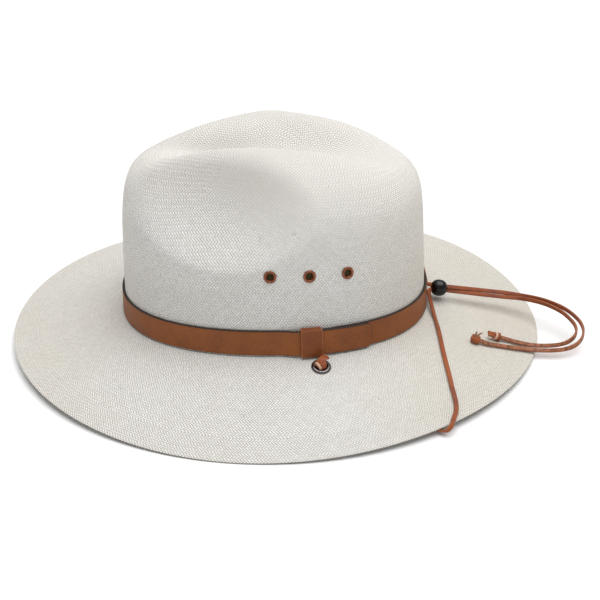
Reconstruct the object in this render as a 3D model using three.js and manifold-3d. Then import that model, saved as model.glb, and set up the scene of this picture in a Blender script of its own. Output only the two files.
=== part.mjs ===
// A shantung-straw panama hat: teardrop crown with two front pinches and a centre dent, a wide drooping brim,
// a leather hatband with its keeper, three vent eyelets a side, and a flat leather chin cord that leaves the brim
// through two grommets, is drawn together behind the crown by a bead and ends in two knotted tails.
// Millimetres. +Z is up, the front of the hat faces -Y and the wearer's left is +X. z = 0 is the surface that
// the brim stands on, and x = y = 0 is the middle of the brim's outline.
import * as THREE from "three";
import { mergeVertices } from "three/addons/utils/BufferGeometryUtils.js";
import Module from "manifold-3d";

const wasm = await Module();
wasm.setup();

// ---------------------------------------------------------------- driving sizes
const STRAW = 1.1; // thickness of the stiffened woven straw
const CROWN_A = 104; // half length of the crown's outside at its base
const CROWN_B = 86.5; // half width of the crown's outside at its base
const BASE_RISE = 4.8; // the crown's base line is this much higher at the sides than its mean, and lower front and back
const CROWN_H = 124.56; // height of the ridge over the mean base line
const EXP_FRONT = 5.95, EXP_SIDE = 3.195, EXP_REAR = 9.02; // how square the crown's shoulder is
const TAPER_Y = 0.052, TAPER_X = 0.12; // share by which the crown narrows to its top
const RIDGE = [0.036, 0.222, 0.028, 0.066, 0, -0.224]; // fall of the ridge line along the hat, powers 1 to 6
const DENT = { depth: 22, half_width: 21, half_length: 70 }; // centre dent along the top
const PINCH = { depth: 25, y: -33, z: 91, half_length: 63, half_height: 34, edge: 1.6 }; // one at each side of the front
const BRIM_A = 182.25, BRIM_B = 161.58; // half length and half width of the brim's outline
const EDGE = [-20.016, 1.059, 1.373, 1.571, -1.161]; // height of the brim's edge round the hat, cosines 0 to 4
const BRIM_BULGE = 1.5; // rise of the brim's middle over the straight line from crown to edge
const FILLET_DROP = 1.1, FILLET_OUT = 1.2; // where the crown's wall turns into the brim

const BAND_H = 17.2, BAND_T = 1.5, BAND_GAP = 0.3; // hatband strap
const LAYER_GAP = 0.25;
const KEEPER_T = 0.7, KEEPER_W = 15, KEEPER_Y = 24.4; // loop that holds the strap's tongue, and where it is
const TONGUE_Y = 62; // where the strap's rounded tongue ends
const UNDER_Y = 20; // where the strap's under end lies hidden

const VENTS = [[-0.2, 57.0], [24.0, 55.8], [47.7, 54.0]]; // y and height over the mean base line of each vent
const EYELET = { flange: 4.0, barrel: 3.0, bore: 2.3, hole: 3.3 };
const GROMMET_XY = [94.7, 30.7]; // centre of the left brim grommet
const GROMMET = { flange: 6.3, barrel: 3.9, bore: 3.2, hole: 4.2 };

const SWEAT_H = 32, SWEAT_T = 0.9; // sweatband
const REED_R = 0.8;

const LACE_R = 1.1; // the flat lace, 3 mm wide, is carried by a round tube of this radius
const LACE_APART = 1.6; // each lace's distance from the bead's axis
const BEAD = { x: -1.0, y: 114.7, z: 1.78, r: 5.75, slope: -0.14, roll: 40 }; // roll turns its slot about its axis, in degrees
const KNOT_R = 3.3;

// ---------------------------------------------------------------- the straw's outside
const TAU = Math.PI * 2;
const smooth = (t) => { t = Math.min(1, Math.max(0, t)); return t * t * (3 - 2 * t); };
const baseZ = (phi) => -BASE_RISE * Math.cos(2 * phi);
const exponent = (phi) => {
  const c = Math.cos(phi), w = c ** 4;
  return (c > 0 ? EXP_FRONT : EXP_REAR) * w + EXP_SIDE * (1 - w);
};

// A point on the crown's outside. phi is 0 at the front and 90 degrees at the wearer's left; rho and zeta run over
// the unit superellipse, (1, 0) at the base and (0, 1) at the middle of the top.
function crown(phi, rho, zeta) {
  const s = Math.sin(phi), c = Math.cos(phi);
  let x = CROWN_B * (1 - TAPER_X * zeta) * rho * s;
  const y = -CROWN_A * (1 - TAPER_Y * zeta) * rho * c;
  const q = y / CROWN_A;
  let fall = 0;
  RIDGE.forEach((k, i) => { fall += k * q ** (i + 1); });
  let z = CROWN_H * zeta * (1 - fall) + baseZ(phi) * (1 - zeta);
  z -= DENT.depth * Math.exp(-((Math.abs(x) / DENT.half_width) ** 2.4)) *
    Math.exp(-((y / DENT.half_length) ** 4)) * smooth(zeta * 2 - 0.6);
  const e = ((y - PINCH.y) / PINCH.half_length) ** 2 + ((z - PINCH.z) / PINCH.half_height) ** 2;
  const b = Math.max(0, 1 - e) ** PINCH.edge * smooth((Math.abs(x) - 4) / 34);
  x -= Math.sign(x) * PINCH.depth * b;
  return new THREE.Vector3(x, y, z);
}
const atAngle = (phi, alpha) => {
  const n = exponent(phi), ca = Math.cos(alpha), sa = Math.sin(alpha);
  const r = (Math.abs(ca) ** n + Math.abs(sa) ** n) ** (-1 / n);
  return crown(phi, r * ca, r * sa);
};
const atZeta = (phi, zeta) => crown(phi, (1 - zeta ** exponent(phi)) ** (1 / exponent(phi)), zeta);

// Outward direction of the crown's base line, in plan.
const plan = (phi) => new THREE.Vector3(CROWN_A * Math.sin(phi), -CROWN_B * Math.cos(phi), 0).normalize();

function brim(phi, r) {
  const s = Math.sin(phi), c = Math.cos(phi);
  const edge = EDGE.reduce((a, k, i) => a + k * Math.cos(i * phi), 0);
  const z0 = baseZ(phi) - FILLET_DROP;
  return new THREE.Vector3(
    (CROWN_B + FILLET_OUT + (BRIM_B - CROWN_B - FILLET_OUT) * r) * s,
    -(CROWN_A + FILLET_OUT + (BRIM_A - CROWN_A - FILLET_OUT) * r) * c,
    z0 + (edge - z0) * r + BRIM_BULGE * 4 * r * (1 - r));
}
// Height of the brim's upper side at a place in plan; beyond the edge it is the edge's height.
function brimZ(x, y) {
  let lo = 0, hi = 1;
  for (let i = 0; i < 40; i++) {
    const r = (lo + hi) / 2;
    const b = CROWN_B + FILLET_OUT + (BRIM_B - CROWN_B - FILLET_OUT) * r;
    const a = CROWN_A + FILLET_OUT + (BRIM_A - CROWN_A - FILLET_OUT) * r;
    if ((x / b) ** 2 + (y / a) ** 2 > 1) lo = r; else hi = r;
  }
  const b = CROWN_B + FILLET_OUT + (BRIM_B - CROWN_B - FILLET_OUT) * lo;
  const a = CROWN_A + FILLET_OUT + (BRIM_A - CROWN_A - FILLET_OUT) * lo;
  return brim(Math.atan2(x / b, -y / a), lo).z;
}
const brimNormal = (x, y) => {
  const h = 0.5;
  return new THREE.Vector3((brimZ(x - h, y) - brimZ(x + h, y)) / (2 * h), (brimZ(x, y - h) - brimZ(x, y + h)) / (2 * h), 1).normalize();
};

// ---------------------------------------------------------------- helpers
// A closed mesh with shared vertices, no collapsed faces and its faces outwards.
function closed(geometry) {
  const g = geometry.clone();
  g.deleteAttribute("normal");
  g.deleteAttribute("uv");
  const m = mergeVertices(g, 1e-4), p = m.attributes.position, keep = [];
  for (let i = 0; i < m.index.count; i += 3) {
    const [a, b, c] = [m.index.getX(i), m.index.getX(i + 1), m.index.getX(i + 2)];
    if (a !== b && b !== c && c !== a) keep.push(a, b, c);
  }
  let volume = 0;
  const v = (i) => new THREE.Vector3().fromBufferAttribute(p, i);
  for (let i = 0; i < keep.length; i += 3)
    volume += v(keep[i]).dot(v(keep[i + 1]).cross(v(keep[i + 2])));
  if (volume < 0)
    for (let i = 0; i < keep.length; i += 3) [keep[i + 1], keep[i + 2]] = [keep[i + 2], keep[i + 1]];
  return new THREE.BufferGeometry().setAttribute("position", p).setIndex(keep);
}
const solid = (geometry) => {
  const g = closed(geometry);
  return new wasm.Manifold(new wasm.Mesh({
    numProp: 3,
    vertProperties: new Float32Array(g.attributes.position.array),
    triVerts: new Uint32Array(g.index.array),
  }));
};
const back = (manifold) => {
  const m = manifold.getMesh(), p = new Float32Array(m.numVert * 3);
  for (let i = 0; i < m.numVert; i++) p.set(m.vertProperties.subarray(i * m.numProp, i * m.numProp + 3), i * 3);
  return new THREE.BufferGeometry().setAttribute("position", new THREE.BufferAttribute(p, 3)).setIndex([...m.triVerts]);
};
// A closed surface from rows of points. Each row is a closed loop; the rows close on themselves, or end in caps.
function fromRows(rows, capped) {
  const n = rows[0].length, position = [], index = [];
  rows.forEach((row) => row.forEach((p) => position.push(p.x, p.y, p.z)));
  const id = (j, i) => (j % rows.length) * n + ((i + n) % n);
  for (let j = 0; j < rows.length - (capped ? 1 : 0); j++)
    for (let i = 0; i < n; i++)
      index.push(id(j, i), id(j, i + 1), id(j + 1, i + 1), id(j, i), id(j + 1, i + 1), id(j + 1, i));
  if (capped)
    for (let i = 1; i < n - 1; i++)
      index.push(id(0, 0), id(0, i + 1), id(0, i), id(rows.length - 1, 0), id(rows.length - 1, i), id(rows.length - 1, i + 1));
  return closed(new THREE.BufferGeometry().setAttribute("position", new THREE.Float32BufferAttribute(position, 3)).setIndex(index));
}
const ring = (profile, segments) => {
  const points = profile.map(([r, z]) => new THREE.Vector2(r, z));
  points.push(points[0].clone());
  return closed(new THREE.LatheGeometry(points, segments).rotateX(Math.PI / 2));
};
const hat = new THREE.Group();
const leather = { color: 0x86533a, roughness: 0.6, metalness: 0 };
const material = (settings) => new THREE.MeshStandardMaterial({ ...settings, flatShading: true });
function add(name, geometry, settings, position, normal) {
  const g = geometry.clone();
  g.computeVertexNormals();
  const mesh = new THREE.Mesh(g, material(settings));
  mesh.name = name;
  if (position) mesh.position.copy(position);
  if (normal) mesh.quaternion.setFromUnitVectors(new THREE.Vector3(0, 0, 1), normal);
  hat.add(mesh);
  return mesh;
}

// ---------------------------------------------------------------- straw body
const ROUND = 60;
const ANGLES = [82, 74, 67, 61, 56, 51, 47, 43, 39, 35, 31, 26, 21, 15, 9, 3];
const BRIM_ROWS = [0, 0.2, 0.46, 0.74, 1];
function strawBody() {
  const rows = []; // each a ring round the hat, from the top of the crown to the brim's edge
  const round = (f) => Array.from({ length: ROUND }, (_, i) => f((i / ROUND) * TAU));
  ANGLES.forEach((a) => rows.push(round((phi) => atAngle(phi, (a * Math.PI) / 180))));
  rows.push(round((phi) => atZeta(phi, 0.004)));
  rows.push(round((phi) => atZeta(phi, 0).addScaledVector(plan(phi), 0.3).add(new THREE.Vector3(0, 0, -0.7))));
  BRIM_ROWS.forEach((r) => rows.push(round((phi) => brim(phi, r))));
  const apex = crown(0, 0, 1);
  // normals of the outside
  const at = (j, i) => (j < 0 ? apex : rows[j][(i + ROUND) % ROUND]);
  const inner = rows.map((row, j) => row.map((p, i) => {
    const n = new THREE.Vector3(), k = Math.min(j, rows.length - 1);
    const up = at(k - 1, i), down = k + 1 < rows.length ? at(k + 1, i) : at(k, i);
    const along = down.clone().sub(up), across = at(k, i + 1).clone().sub(at(k, i - 1));
    n.crossVectors(along, across).normalize();
    return p.clone().addScaledVector(n, -STRAW);
  }));
  const position = [], index = [], nr = rows.length;
  const put = (p) => { position.push(p.x, p.y, p.z); return position.length / 3 - 1; };
  const outId = rows.map((row) => row.map(put)), inId = inner.map((row) => row.map(put));
  const top = put(apex), under = put(apex.clone().add(new THREE.Vector3(0, 0, -STRAW)));
  for (let i = 0; i < ROUND; i++) {
    const k = (i + 1) % ROUND;
    index.push(top, outId[0][i], outId[0][k], under, inId[0][k], inId[0][i]);
    for (let j = 0; j < nr - 1; j++) {
      index.push(outId[j][i], outId[j + 1][i], outId[j + 1][k], outId[j][i], outId[j + 1][k], outId[j][k]);
      index.push(inId[j][i], inId[j + 1][k], inId[j + 1][i], inId[j][i], inId[j][k], inId[j + 1][k]);
    }
    index.push(outId[nr - 1][i], inId[nr - 1][i], inId[nr - 1][k], outId[nr - 1][i], inId[nr - 1][k], outId[nr - 1][k]);
  }
  return new THREE.BufferGeometry().setAttribute("position", new THREE.Float32BufferAttribute(position, 3)).setIndex(index);
}

// Where each vent is on the crown, and the way it faces.
function ventAt([y, z], side) {
  let phi = Math.acos(-y / CROWN_A), zeta = z / CROWN_H;
  for (let i = 0; i < 30; i++) {
    const n = exponent(phi), rho = (1 - zeta ** n) ** (1 / n), q = y / CROWN_A;
    let fall = 0;
    RIDGE.forEach((k, j) => { fall += k * q ** (j + 1); });
    zeta = (z - baseZ(phi) * (1 - zeta)) / (CROWN_H * (1 - fall));
    phi = Math.acos(-y / (CROWN_A * (1 - TAPER_Y * zeta) * rho));
  }
  const p = atZeta(phi, zeta);
  const a = atZeta(phi + 0.01, zeta).sub(atZeta(phi - 0.01, zeta)), b = atZeta(phi, zeta + 0.01).sub(atZeta(phi, zeta - 0.01));
  const n = new THREE.Vector3().crossVectors(a, b).normalize();
  if (n.x < 0) n.negate();
  if (side < 0) { p.x *= -1; n.x *= -1; }
  return { p, n };
}
function grommetAt(side) {
  const [x, y] = GROMMET_XY;
  const p = new THREE.Vector3(x, y, brimZ(x, y)), n = brimNormal(x, y);
  if (side < 0) { p.x *= -1; n.x *= -1; }
  return { p, n };
}
const SIDES = [["left", 1], ["right", -1]];
const PLACES = ["front", "middle", "rear"];
const vents = SIDES.flatMap(([side, sign]) => VENTS.map((v, i) => ({ name: `${side}_${PLACES[i]}`, ...ventAt(v, sign) })));
const grommets = SIDES.map(([side, sign]) => ({ name: side, sign, ...grommetAt(sign) }));

let straw = solid(strawBody());
const drill = (r, { p, n }) => {
  const g = new THREE.CylinderGeometry(r, r, 14, 20).rotateX(Math.PI / 2);
  g.applyQuaternion(new THREE.Quaternion().setFromUnitVectors(new THREE.Vector3(0, 0, 1), n)).translate(p.x, p.y, p.z);
  return solid(g);
};
vents.forEach((v) => { straw = straw.subtract(drill(EYELET.hole, v)); });
grommets.forEach((g) => { straw = straw.subtract(drill(GROMMET.hole, g)); });
add("straw_body", back(straw), { color: 0xdad6cc, roughness: 0.85, metalness: 0 });

// ---------------------------------------------------------------- vents
vents.forEach(({ name, p, n }) => {
  add(`vent_eyelet_${name}`, ring([
    [EYELET.bore, 0.45], [2.75, 0.9], [3.45, 0.8], [EYELET.flange, 0.45], [EYELET.flange, 0.25], [EYELET.barrel, 0.25],
    [EYELET.barrel, -2.8], [3.65, -2.8], [3.65, -3.1], [EYELET.bore, -3.1],
    [EYELET.bore, -0.95], [2.75, -0.95], [2.75, -0.3], [EYELET.bore, -0.3]], 12),
    { color: 0x4a2b1c, roughness: 0.35, metalness: 0.3 }, p, n);
  add(`vent_mesh_${name}`, closed(new THREE.CylinderGeometry(2.5, 2.5, 0.4, 12).rotateX(Math.PI / 2).translate(0, 0, -0.62)),
    { color: 0x4d4630, roughness: 0.5, metalness: 0.8 }, p, n);
  add(`vent_washer_${name}`, ring([[3.35, -2.15], [4.1, -2.15], [4.1, -2.5], [3.35, -2.5]], 12),
    { color: 0x4a2b1c, roughness: 0.35, metalness: 0.3 }, p, n);
});

// ---------------------------------------------------------------- brim grommets
grommets.forEach(({ name, p, n }) => {
  add(`brim_grommet_${name}`, ring([
    [GROMMET.bore, 0.4], [3.7, 1.15], [4.9, 1.35], [5.9, 0.95], [GROMMET.flange, 0.3], [GROMMET.barrel, 0.3],
    [GROMMET.barrel, -2.5], [4.7, -2.5], [4.7, -2.85], [GROMMET.bore, -2.85]], 18),
    { color: 0x2c2a2a, roughness: 0.3, metalness: 0.9 }, p, n);
  add(`grommet_washer_${name}`, ring([[4.25, -1.75], [6.2, -1.75], [6.2, -2.2], [4.25, -2.2]], 18),
    { color: 0x2c2a2a, roughness: 0.35, metalness: 0.9 }, p, n);
});

// ---------------------------------------------------------------- hatband
// The strap starts under its own overlap on the wearer's left, runs back round the hat and ends in a tongue that lies over its start.
const phiOfY = (y) => Math.acos(-y / CROWN_A);
const PHI_UNDER = phiOfY(UNDER_Y), PHI_KEEPER = phiOfY(KEEPER_Y), PHI_TONGUE = phiOfY(TONGUE_Y);
const wall = (phi, h) => { const p = atZeta(phi, Math.max(0, h) / CROWN_H); p.z = baseZ(phi) + h; return p; };
const bump = (d, flat, ramp) => 1 - smooth((Math.abs(d) - flat) / ramp);
const arc = CROWN_A * 0.9; // mm of strap for each radian near the side
// radial position of the strap's inner face, over the crown's wall
const keeperLift = (phi) => (KEEPER_T + LAYER_GAP) * bump((phi - PHI_KEEPER) * 118, KEEPER_W / 2 + 3, 14);
function bandRow(phi, over, shrink) {
  const lift = BAND_GAP + keeperLift(phi) + over * (BAND_T + LAYER_GAP), h0 = 0.1 + shrink, h1 = BAND_H - 0.1 - shrink;
  const n = plan(phi), hs = [h0, (h0 + h1) / 2, h1];
  const inside = hs.map((h) => wall(phi, h).addScaledVector(n, lift));
  const outside = hs.map((h) => wall(phi, h).addScaledVector(n, lift + BAND_T)).reverse();
  return [...inside, ...outside];
}
{
  // phi grows from the hidden under end, round the back and front, to the tongue
  const rows = [], start = PHI_UNDER, end = TAU + PHI_TONGUE;
  const stops = new Set();
  for (let i = 0; i <= 76; i++) stops.add(start + ((end - start) * i) / 76);
  for (let i = 0; i <= 10; i++) stops.add(PHI_KEEPER + (i - 5) * 0.045), stops.add(TAU + PHI_KEEPER + (i - 5) * 0.045);
  const tongue = 0.075; // radians over which the tongue rounds off
  for (let i = 1; i <= 7; i++) stops.add(end - tongue * (1 - Math.sin((i / 7) * (Math.PI / 2))));
  [...stops].sort((a, b) => a - b).filter((v, i, s) => i === 0 || v - s[i - 1] > 0.004).forEach((phi) => {
    const over = smooth((phi - (TAU + PHI_UNDER - 0.22)) / 0.17);
    const t = Math.max(0, (phi - (end - tongue)) / tongue);
    rows.push(bandRow(phi, over, (BAND_H / 2 - 1.2) * (1 - Math.sqrt(Math.max(0, 1 - t * t)))));
  });
  add("hatband_strap", fromRows(rows, true), leather);
}
{
  // the keeper: a flat leather loop round both layers of the strap
  const half = KEEPER_W / 2 / 118, rows = [];
  for (let i = 0; i <= 4; i++) {
    const phi = PHI_KEEPER + half * (i / 2 - 1), n = plan(phi);
    const at = (lift, h) => { const p = wall(phi, Math.min(Math.max(h, 0), BAND_H)).addScaledVector(n, lift); p.z += h < 0 ? h : Math.max(0, h - BAND_H); return p; };
    const a0 = BAND_GAP, a1 = a0 + KEEPER_T, b0 = a0 + KEEPER_T + 2 * BAND_T + 3 * LAYER_GAP, b1 = b0 + KEEPER_T;
    rows.push({
      out: [at(a0, -0.65), at(b1, -0.65), at(b1, BAND_H + 0.85), at(a0, BAND_H + 0.85)],
      inn: [at(a1, -0.2), at(b0, -0.2), at(b0, BAND_H + 0.2), at(a1, BAND_H + 0.2)],
    });
  }
  const position = [], index = [];
  const put = (p) => { position.push(p.x, p.y, p.z); return position.length / 3 - 1; };
  const O = rows.map((r) => r.out.map(put)), I = rows.map((r) => r.inn.map(put)), last = rows.length - 1;
  for (let k = 0; k < 4; k++) {
    const m = (k + 1) % 4;
    for (let j = 0; j < last; j++) {
      index.push(O[j][k], O[j][m], O[j + 1][m], O[j][k], O[j + 1][m], O[j + 1][k]);
      index.push(I[j][k], I[j + 1][m], I[j][m], I[j][k], I[j + 1][k], I[j + 1][m]);
    }
    index.push(O[0][k], I[0][m], O[0][m], O[0][k], I[0][k], I[0][m]);
    index.push(O[last][k], O[last][m], I[last][m], O[last][k], I[last][m], I[last][k]);
  }
  add("hatband_keeper", closed(new THREE.BufferGeometry().setAttribute("position", new THREE.Float32BufferAttribute(position, 3)).setIndex(index)), leather);
}

// ---------------------------------------------------------------- sweatband and its reed
{
  const hs = [-0.2, SWEAT_H * 0.35, SWEAT_H * 0.7, SWEAT_H], gap = STRAW + 0.55;
  const rows = Array.from({ length: ROUND }, (_, i) => {
    const phi = (i / ROUND) * TAU, n = plan(phi);
    const face = (d) => hs.map((h) => { const p = wall(phi, h).addScaledVector(n, -d); return p; });
    return [...face(gap), ...face(gap + SWEAT_T).reverse()];
  });
  add("sweatband", fromRows(rows, false), { color: 0x8f7a5f, roughness: 0.8, metalness: 0 });
  const reed = Array.from({ length: ROUND }, (_, i) => {
    const phi = (i / ROUND) * TAU, n = plan(phi), p = wall(phi, 0).addScaledVector(n, -(gap + 1.1));
    p.z -= 1.5;
    return Array.from({ length: 6 }, (_, k) => {
      const a = (k / 6) * TAU;
      return p.clone().addScaledVector(n, REED_R * Math.cos(a)).add(new THREE.Vector3(0, 0, REED_R * Math.sin(a)));
    });
  });
  add("sweatband_reed", fromRows(reed, false), { color: 0x3d2c20, roughness: 0.8, metalness: 0 });
}

// ---------------------------------------------------------------- chin cord
// A path given point by point, so that its steps are short in the bends and long on the straight runs.
class LacePath extends THREE.Curve {
  constructor(points) { super(); this.points = points; }
  getPoint(t, target = new THREE.Vector3()) {
    const s = t * (this.points.length - 1), i = Math.min(this.points.length - 2, Math.max(0, Math.floor(s)));
    return target.copy(this.points[i]).lerp(this.points[i + 1], s - i);
  }
  getUtoTmapping(u) { return u; }
}
function tube(stops) {
  // a smooth line through the stops, then steps of up to 8 mm that shorten with the bend
  const curve = new THREE.CatmullRomCurve3(stops, false, "centripetal");
  const fine = curve.getSpacedPoints(900), points = [fine[0]];
  let run = 0, turn = 0;
  for (let i = 1; i < fine.length - 1; i++) {
    const a = fine[i].clone().sub(fine[i - 1]), b = fine[i + 1].clone().sub(fine[i]);
    run += a.length(); turn += a.angleTo(b);
    if (run > 8 || (turn > 0.32 && run > 1.3)) { points.push(fine[i]); run = 0; turn = 0; }
  }
  points.push(fine[fine.length - 1]);
  const section = new THREE.Shape(Array.from({ length: 8 }, (_, k) => new THREE.Vector2(LACE_R * Math.cos((k / 8) * TAU), LACE_R * Math.sin((k / 8) * TAU))));
  return { length: curve.getLength(), steps: points.length - 1,
    geometry: closed(new THREE.ExtrudeGeometry(section, { steps: points.length - 1, extrudePath: new LacePath(points) })) };
}
const axisZ = (y) => BEAD.z + BEAD.slope * (y - BEAD.y);
const onBrim = (x, y, lift = LACE_R + 0.35) => new THREE.Vector3(x, y, brimZ(x, y) + lift);
const underBrim = (x, y, drop = STRAW + LACE_R + 0.6) => new THREE.Vector3(x, y, brimZ(x, y) - drop);
const V = (x, y, z) => new THREE.Vector3(x, y, z);
const knotLift = KNOT_R * 0.8 + 0.35;
const tails = {
  // the left lace turns on the inside of the loop, the right one on the outside
  left: { knot: onBrim(42.1, 148.4, knotLift), path: [V(1.0, 170.6, -6.4), V(3.0, 178.2, -6.9), V(6.2, 185.4, -7.4), V(11.2, 192.1, -8.0), V(17, 197.3, -8.7), V(24, 201.1, -9.7),
    V(30.2, 203.3, -10.9), V(35.4, 203.3, -12.3), V(39.6, 201.3, -13.9), V(42.6, 197.9, -15.2), V(44.4, 193.9, -16.2), V(45.2, 188.7, -17.0), V(44.6, 179.3, -17.8),
    onBrim(43.4, 172.1, 2.6), onBrim(43.1, 164.6, 2.2), onBrim(42.3, 158, 2.0)] },
  right: { knot: onBrim(50.3, 133.5, knotLift), path: [V(-1.7, 171.2, -5.4), V(-0.2, 178.7, -6.2), V(2.6, 185.9, -6.7), V(7, 192.9, -7.3), V(13, 199.4, -8.0), V(20, 204.1, -8.9),
    V(27.5, 207.2, -10.0), V(34.6, 208.0, -11.5), V(40.4, 206.6, -13.4), V(45, 203.3, -15.3), V(48, 198.4, -16.8), V(49.4, 193, -17.7), V(49.8, 185.7, -18.2), V(49.2, 178.5, -18.5),
    onBrim(48.7, 171.1, 2.2), onBrim(49.6, 163.6, 1.9), onBrim(50.5, 155.3, 1.7), onBrim(51.1, 148.1, 1.7), onBrim(51.4, 141.5, 1.9)] },
};
const strands = {
  left: [[126, 111.0], [120.1, 112.9], [113.3, 113.2], [101.7, 112.2], [86.5, 111.2], [66.7, 110.1], [43.8, 109.7], [29, 109.0]],
  right: [[120.5, 106.6], [104.5, 107.0], [90, 106.8], [77.3, 106.6], [65.6, 106.5], [53, 106.5], [40.8, 107.2], [29, 107.6]],
};
const lengths = {};
SIDES.forEach(([side, sign], k) => {
  const { p, n } = grommets[k];
  const far = side === "right", edge = far ? [136.2, 94.6] : [131, 99]; // where it comes to the brim's edge from below
  const ex = edge[0], ey = edge[1], ez = brimZ(ex, ey);
  const out = V(ex / BRIM_B ** 2, ey / BRIM_A ** 2, 0).normalize();
  const g = V(GROMMET_XY[0], GROMMET_XY[1], 0), run = V(ex, ey, 0).sub(g);
  const m = (v) => V(sign * v.x, v.y, v.z);
  const hole = (d) => p.clone().addScaledVector(n, d);
  const under = [0.14, 0.3, 0.5, 0.7, 0.86, 0.95].map((t) => m(underBrim(g.x + run.x * t, g.y + run.y * t, t < 0.2 ? 5.4 : STRAW + LACE_R + 0.6)));
  const turn = (far ? [
    V(ex, ey, ez - STRAW - LACE_R - 0.55).addScaledVector(out, 0.8),
    V(ex, ey, ez - 1.9).addScaledVector(out, 3.1),
    V(ex, ey, ez + 0.3).addScaledVector(out, 3.3),
    V(ex - 2.2, ey + 4.0, ez + 2.2).addScaledVector(out, 1.6),
    onBrim(ex - 6.9, ey + 8.6, LACE_R + 0.9),
  ] : [V(132.6, 101.8, -21.0), V(134.4, 104.4, -20.6), V(135.0, 106.5, -19.0), V(133.3, 108.4, -17.1), V(129.9, 109.9, -15.9)]).map(m);
  const top = strands[side].map(([x, y]) => m(onBrim(x, y)));
  // this lace's line through the bead, which holds the two side by side on a slant
  const roll = (BEAD.roll * Math.PI) / 180, x0 = BEAD.x + sign * LACE_APART * Math.cos(roll), dz = -sign * LACE_APART * Math.sin(roll);
  const line = (y) => V(x0, y, axisZ(y) + dz);
  const meet = far
    ? [V(-18, 107.2, -2.6), V(-10.5, 106.9, 0.2), V(-6.8, 106.8, 2.0), V(-4.6, 107.1, 3.0), V(-2.95, 108.2, 3.45), line(110.2)]
    : [V(18, 107.9, -2.6), V(9, 107.2, -0.6), V(4.7, 106.9, 0.5), V(2.4, 107.1, 1.1), V(0.8, 108.1, 1.4), line(110.2)];
  const straight = [112.5, 116, 122, 130, 140, 150, 160].map(line);
  const tail = tails[side], last = tail.path[tail.path.length - 1];
  const toKnot = tail.knot.clone().sub(last).normalize();
  const stop = tail.knot.clone().addScaledVector(toKnot, -(KNOT_R + 0.35));
  const dir = run.clone().normalize();
  const below = [[1.3, 5.2], [4.5, 6.1]].map(([d, drop]) => m(underBrim(g.x + dir.x * d, g.y + dir.y * d, drop)));
  const made = tube([hole(1.1), hole(-0.8), hole(-3.4), ...below, ...under, ...turn, ...top, ...meet, ...straight, ...tail.path, stop]);
  lengths[side] = [made.length, made.steps];
  add(`chin_cord_${side}`, made.geometry, leather);
  const knot = closed(new THREE.SphereGeometry(4.5, 12, 8).rotateX(Math.PI / 2).scale(1, 0.9, 0.62));
  add(`brim_knot_${side}`, knot, leather, hole(1.35 + 0.35 + 4.5 * 0.62), n);
  add(`tail_knot_${side}`, closed(new THREE.SphereGeometry(KNOT_R, 10, 8).scale(1, 1, 0.8)), leather, tail.knot);
});

// ---------------------------------------------------------------- bead
{
  const { x, y, z, r } = BEAD;
  const points = [];
  for (let i = 0; i <= 12; i++) { const a = (i / 12) * Math.PI; points.push(new THREE.Vector2(r * Math.sin(a) * (1 + 0.05 * Math.sin(a)), -r * Math.cos(a))); }
  points[0].x = 0; points[12].x = 0;
  const ball = solid(new THREE.LatheGeometry(points, 20));
  const w = LACE_APART + LACE_R + 0.35, h = LACE_R + 0.4, bore = new THREE.Shape();
  bore.moveTo(-(w - h), -h); bore.lineTo(w - h, -h); bore.absarc(w - h, 0, h, -Math.PI / 2, Math.PI / 2); bore.lineTo(-(w - h), h); bore.absarc(-(w - h), 0, h, Math.PI / 2, 1.5 * Math.PI);
  const cut = solid(new THREE.ExtrudeGeometry(bore, { depth: 30, bevelEnabled: false, curveSegments: 8 }).translate(0, 0, -15).rotateX(Math.PI / 2).rotateY((BEAD.roll * Math.PI) / 180));
  const bead = add("cord_bead", back(ball.subtract(cut)), { color: 0x0d0c0c, roughness: 0.15, metalness: 0 }, V(x, y, z));
  bead.rotation.x = Math.atan(BEAD.slope);
}

// ---------------------------------------------------------------- stand it on z = 0
const box = new THREE.Box3().setFromObject(hat.getObjectByName("straw_body"), true);
hat.position.set(-(box.min.x + box.max.x) / 2, -(box.min.y + box.max.y) / 2, -box.min.z);
hat.updateMatrixWorld(true);
hat.userData = { lengths, lift: -box.min.z, shift_y: -(box.min.y + box.max.y) / 2, brim: [box.max.x - box.min.x, box.max.y - box.min.y, box.max.z - box.min.z] };

export default hat;
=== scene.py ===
# A shantung-straw panama hat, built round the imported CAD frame.
import bpy, math
import numpy as np
from mathutils import Matrix, Vector


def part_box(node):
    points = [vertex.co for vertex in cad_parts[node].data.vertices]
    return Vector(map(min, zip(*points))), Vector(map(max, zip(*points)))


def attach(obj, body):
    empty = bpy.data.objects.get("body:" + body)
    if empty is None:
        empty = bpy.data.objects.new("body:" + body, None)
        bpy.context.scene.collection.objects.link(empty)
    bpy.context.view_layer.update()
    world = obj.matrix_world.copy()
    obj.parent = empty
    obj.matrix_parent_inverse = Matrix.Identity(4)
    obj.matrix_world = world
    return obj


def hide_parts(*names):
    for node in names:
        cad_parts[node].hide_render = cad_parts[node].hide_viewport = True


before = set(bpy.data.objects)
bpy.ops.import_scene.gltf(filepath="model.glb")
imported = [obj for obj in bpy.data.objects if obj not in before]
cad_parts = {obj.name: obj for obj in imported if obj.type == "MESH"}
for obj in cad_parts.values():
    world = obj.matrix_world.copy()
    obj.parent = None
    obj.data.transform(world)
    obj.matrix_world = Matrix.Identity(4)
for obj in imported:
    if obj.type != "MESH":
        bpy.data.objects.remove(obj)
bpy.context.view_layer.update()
scene = bpy.context.scene
TAU = 2 * math.pi

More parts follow.
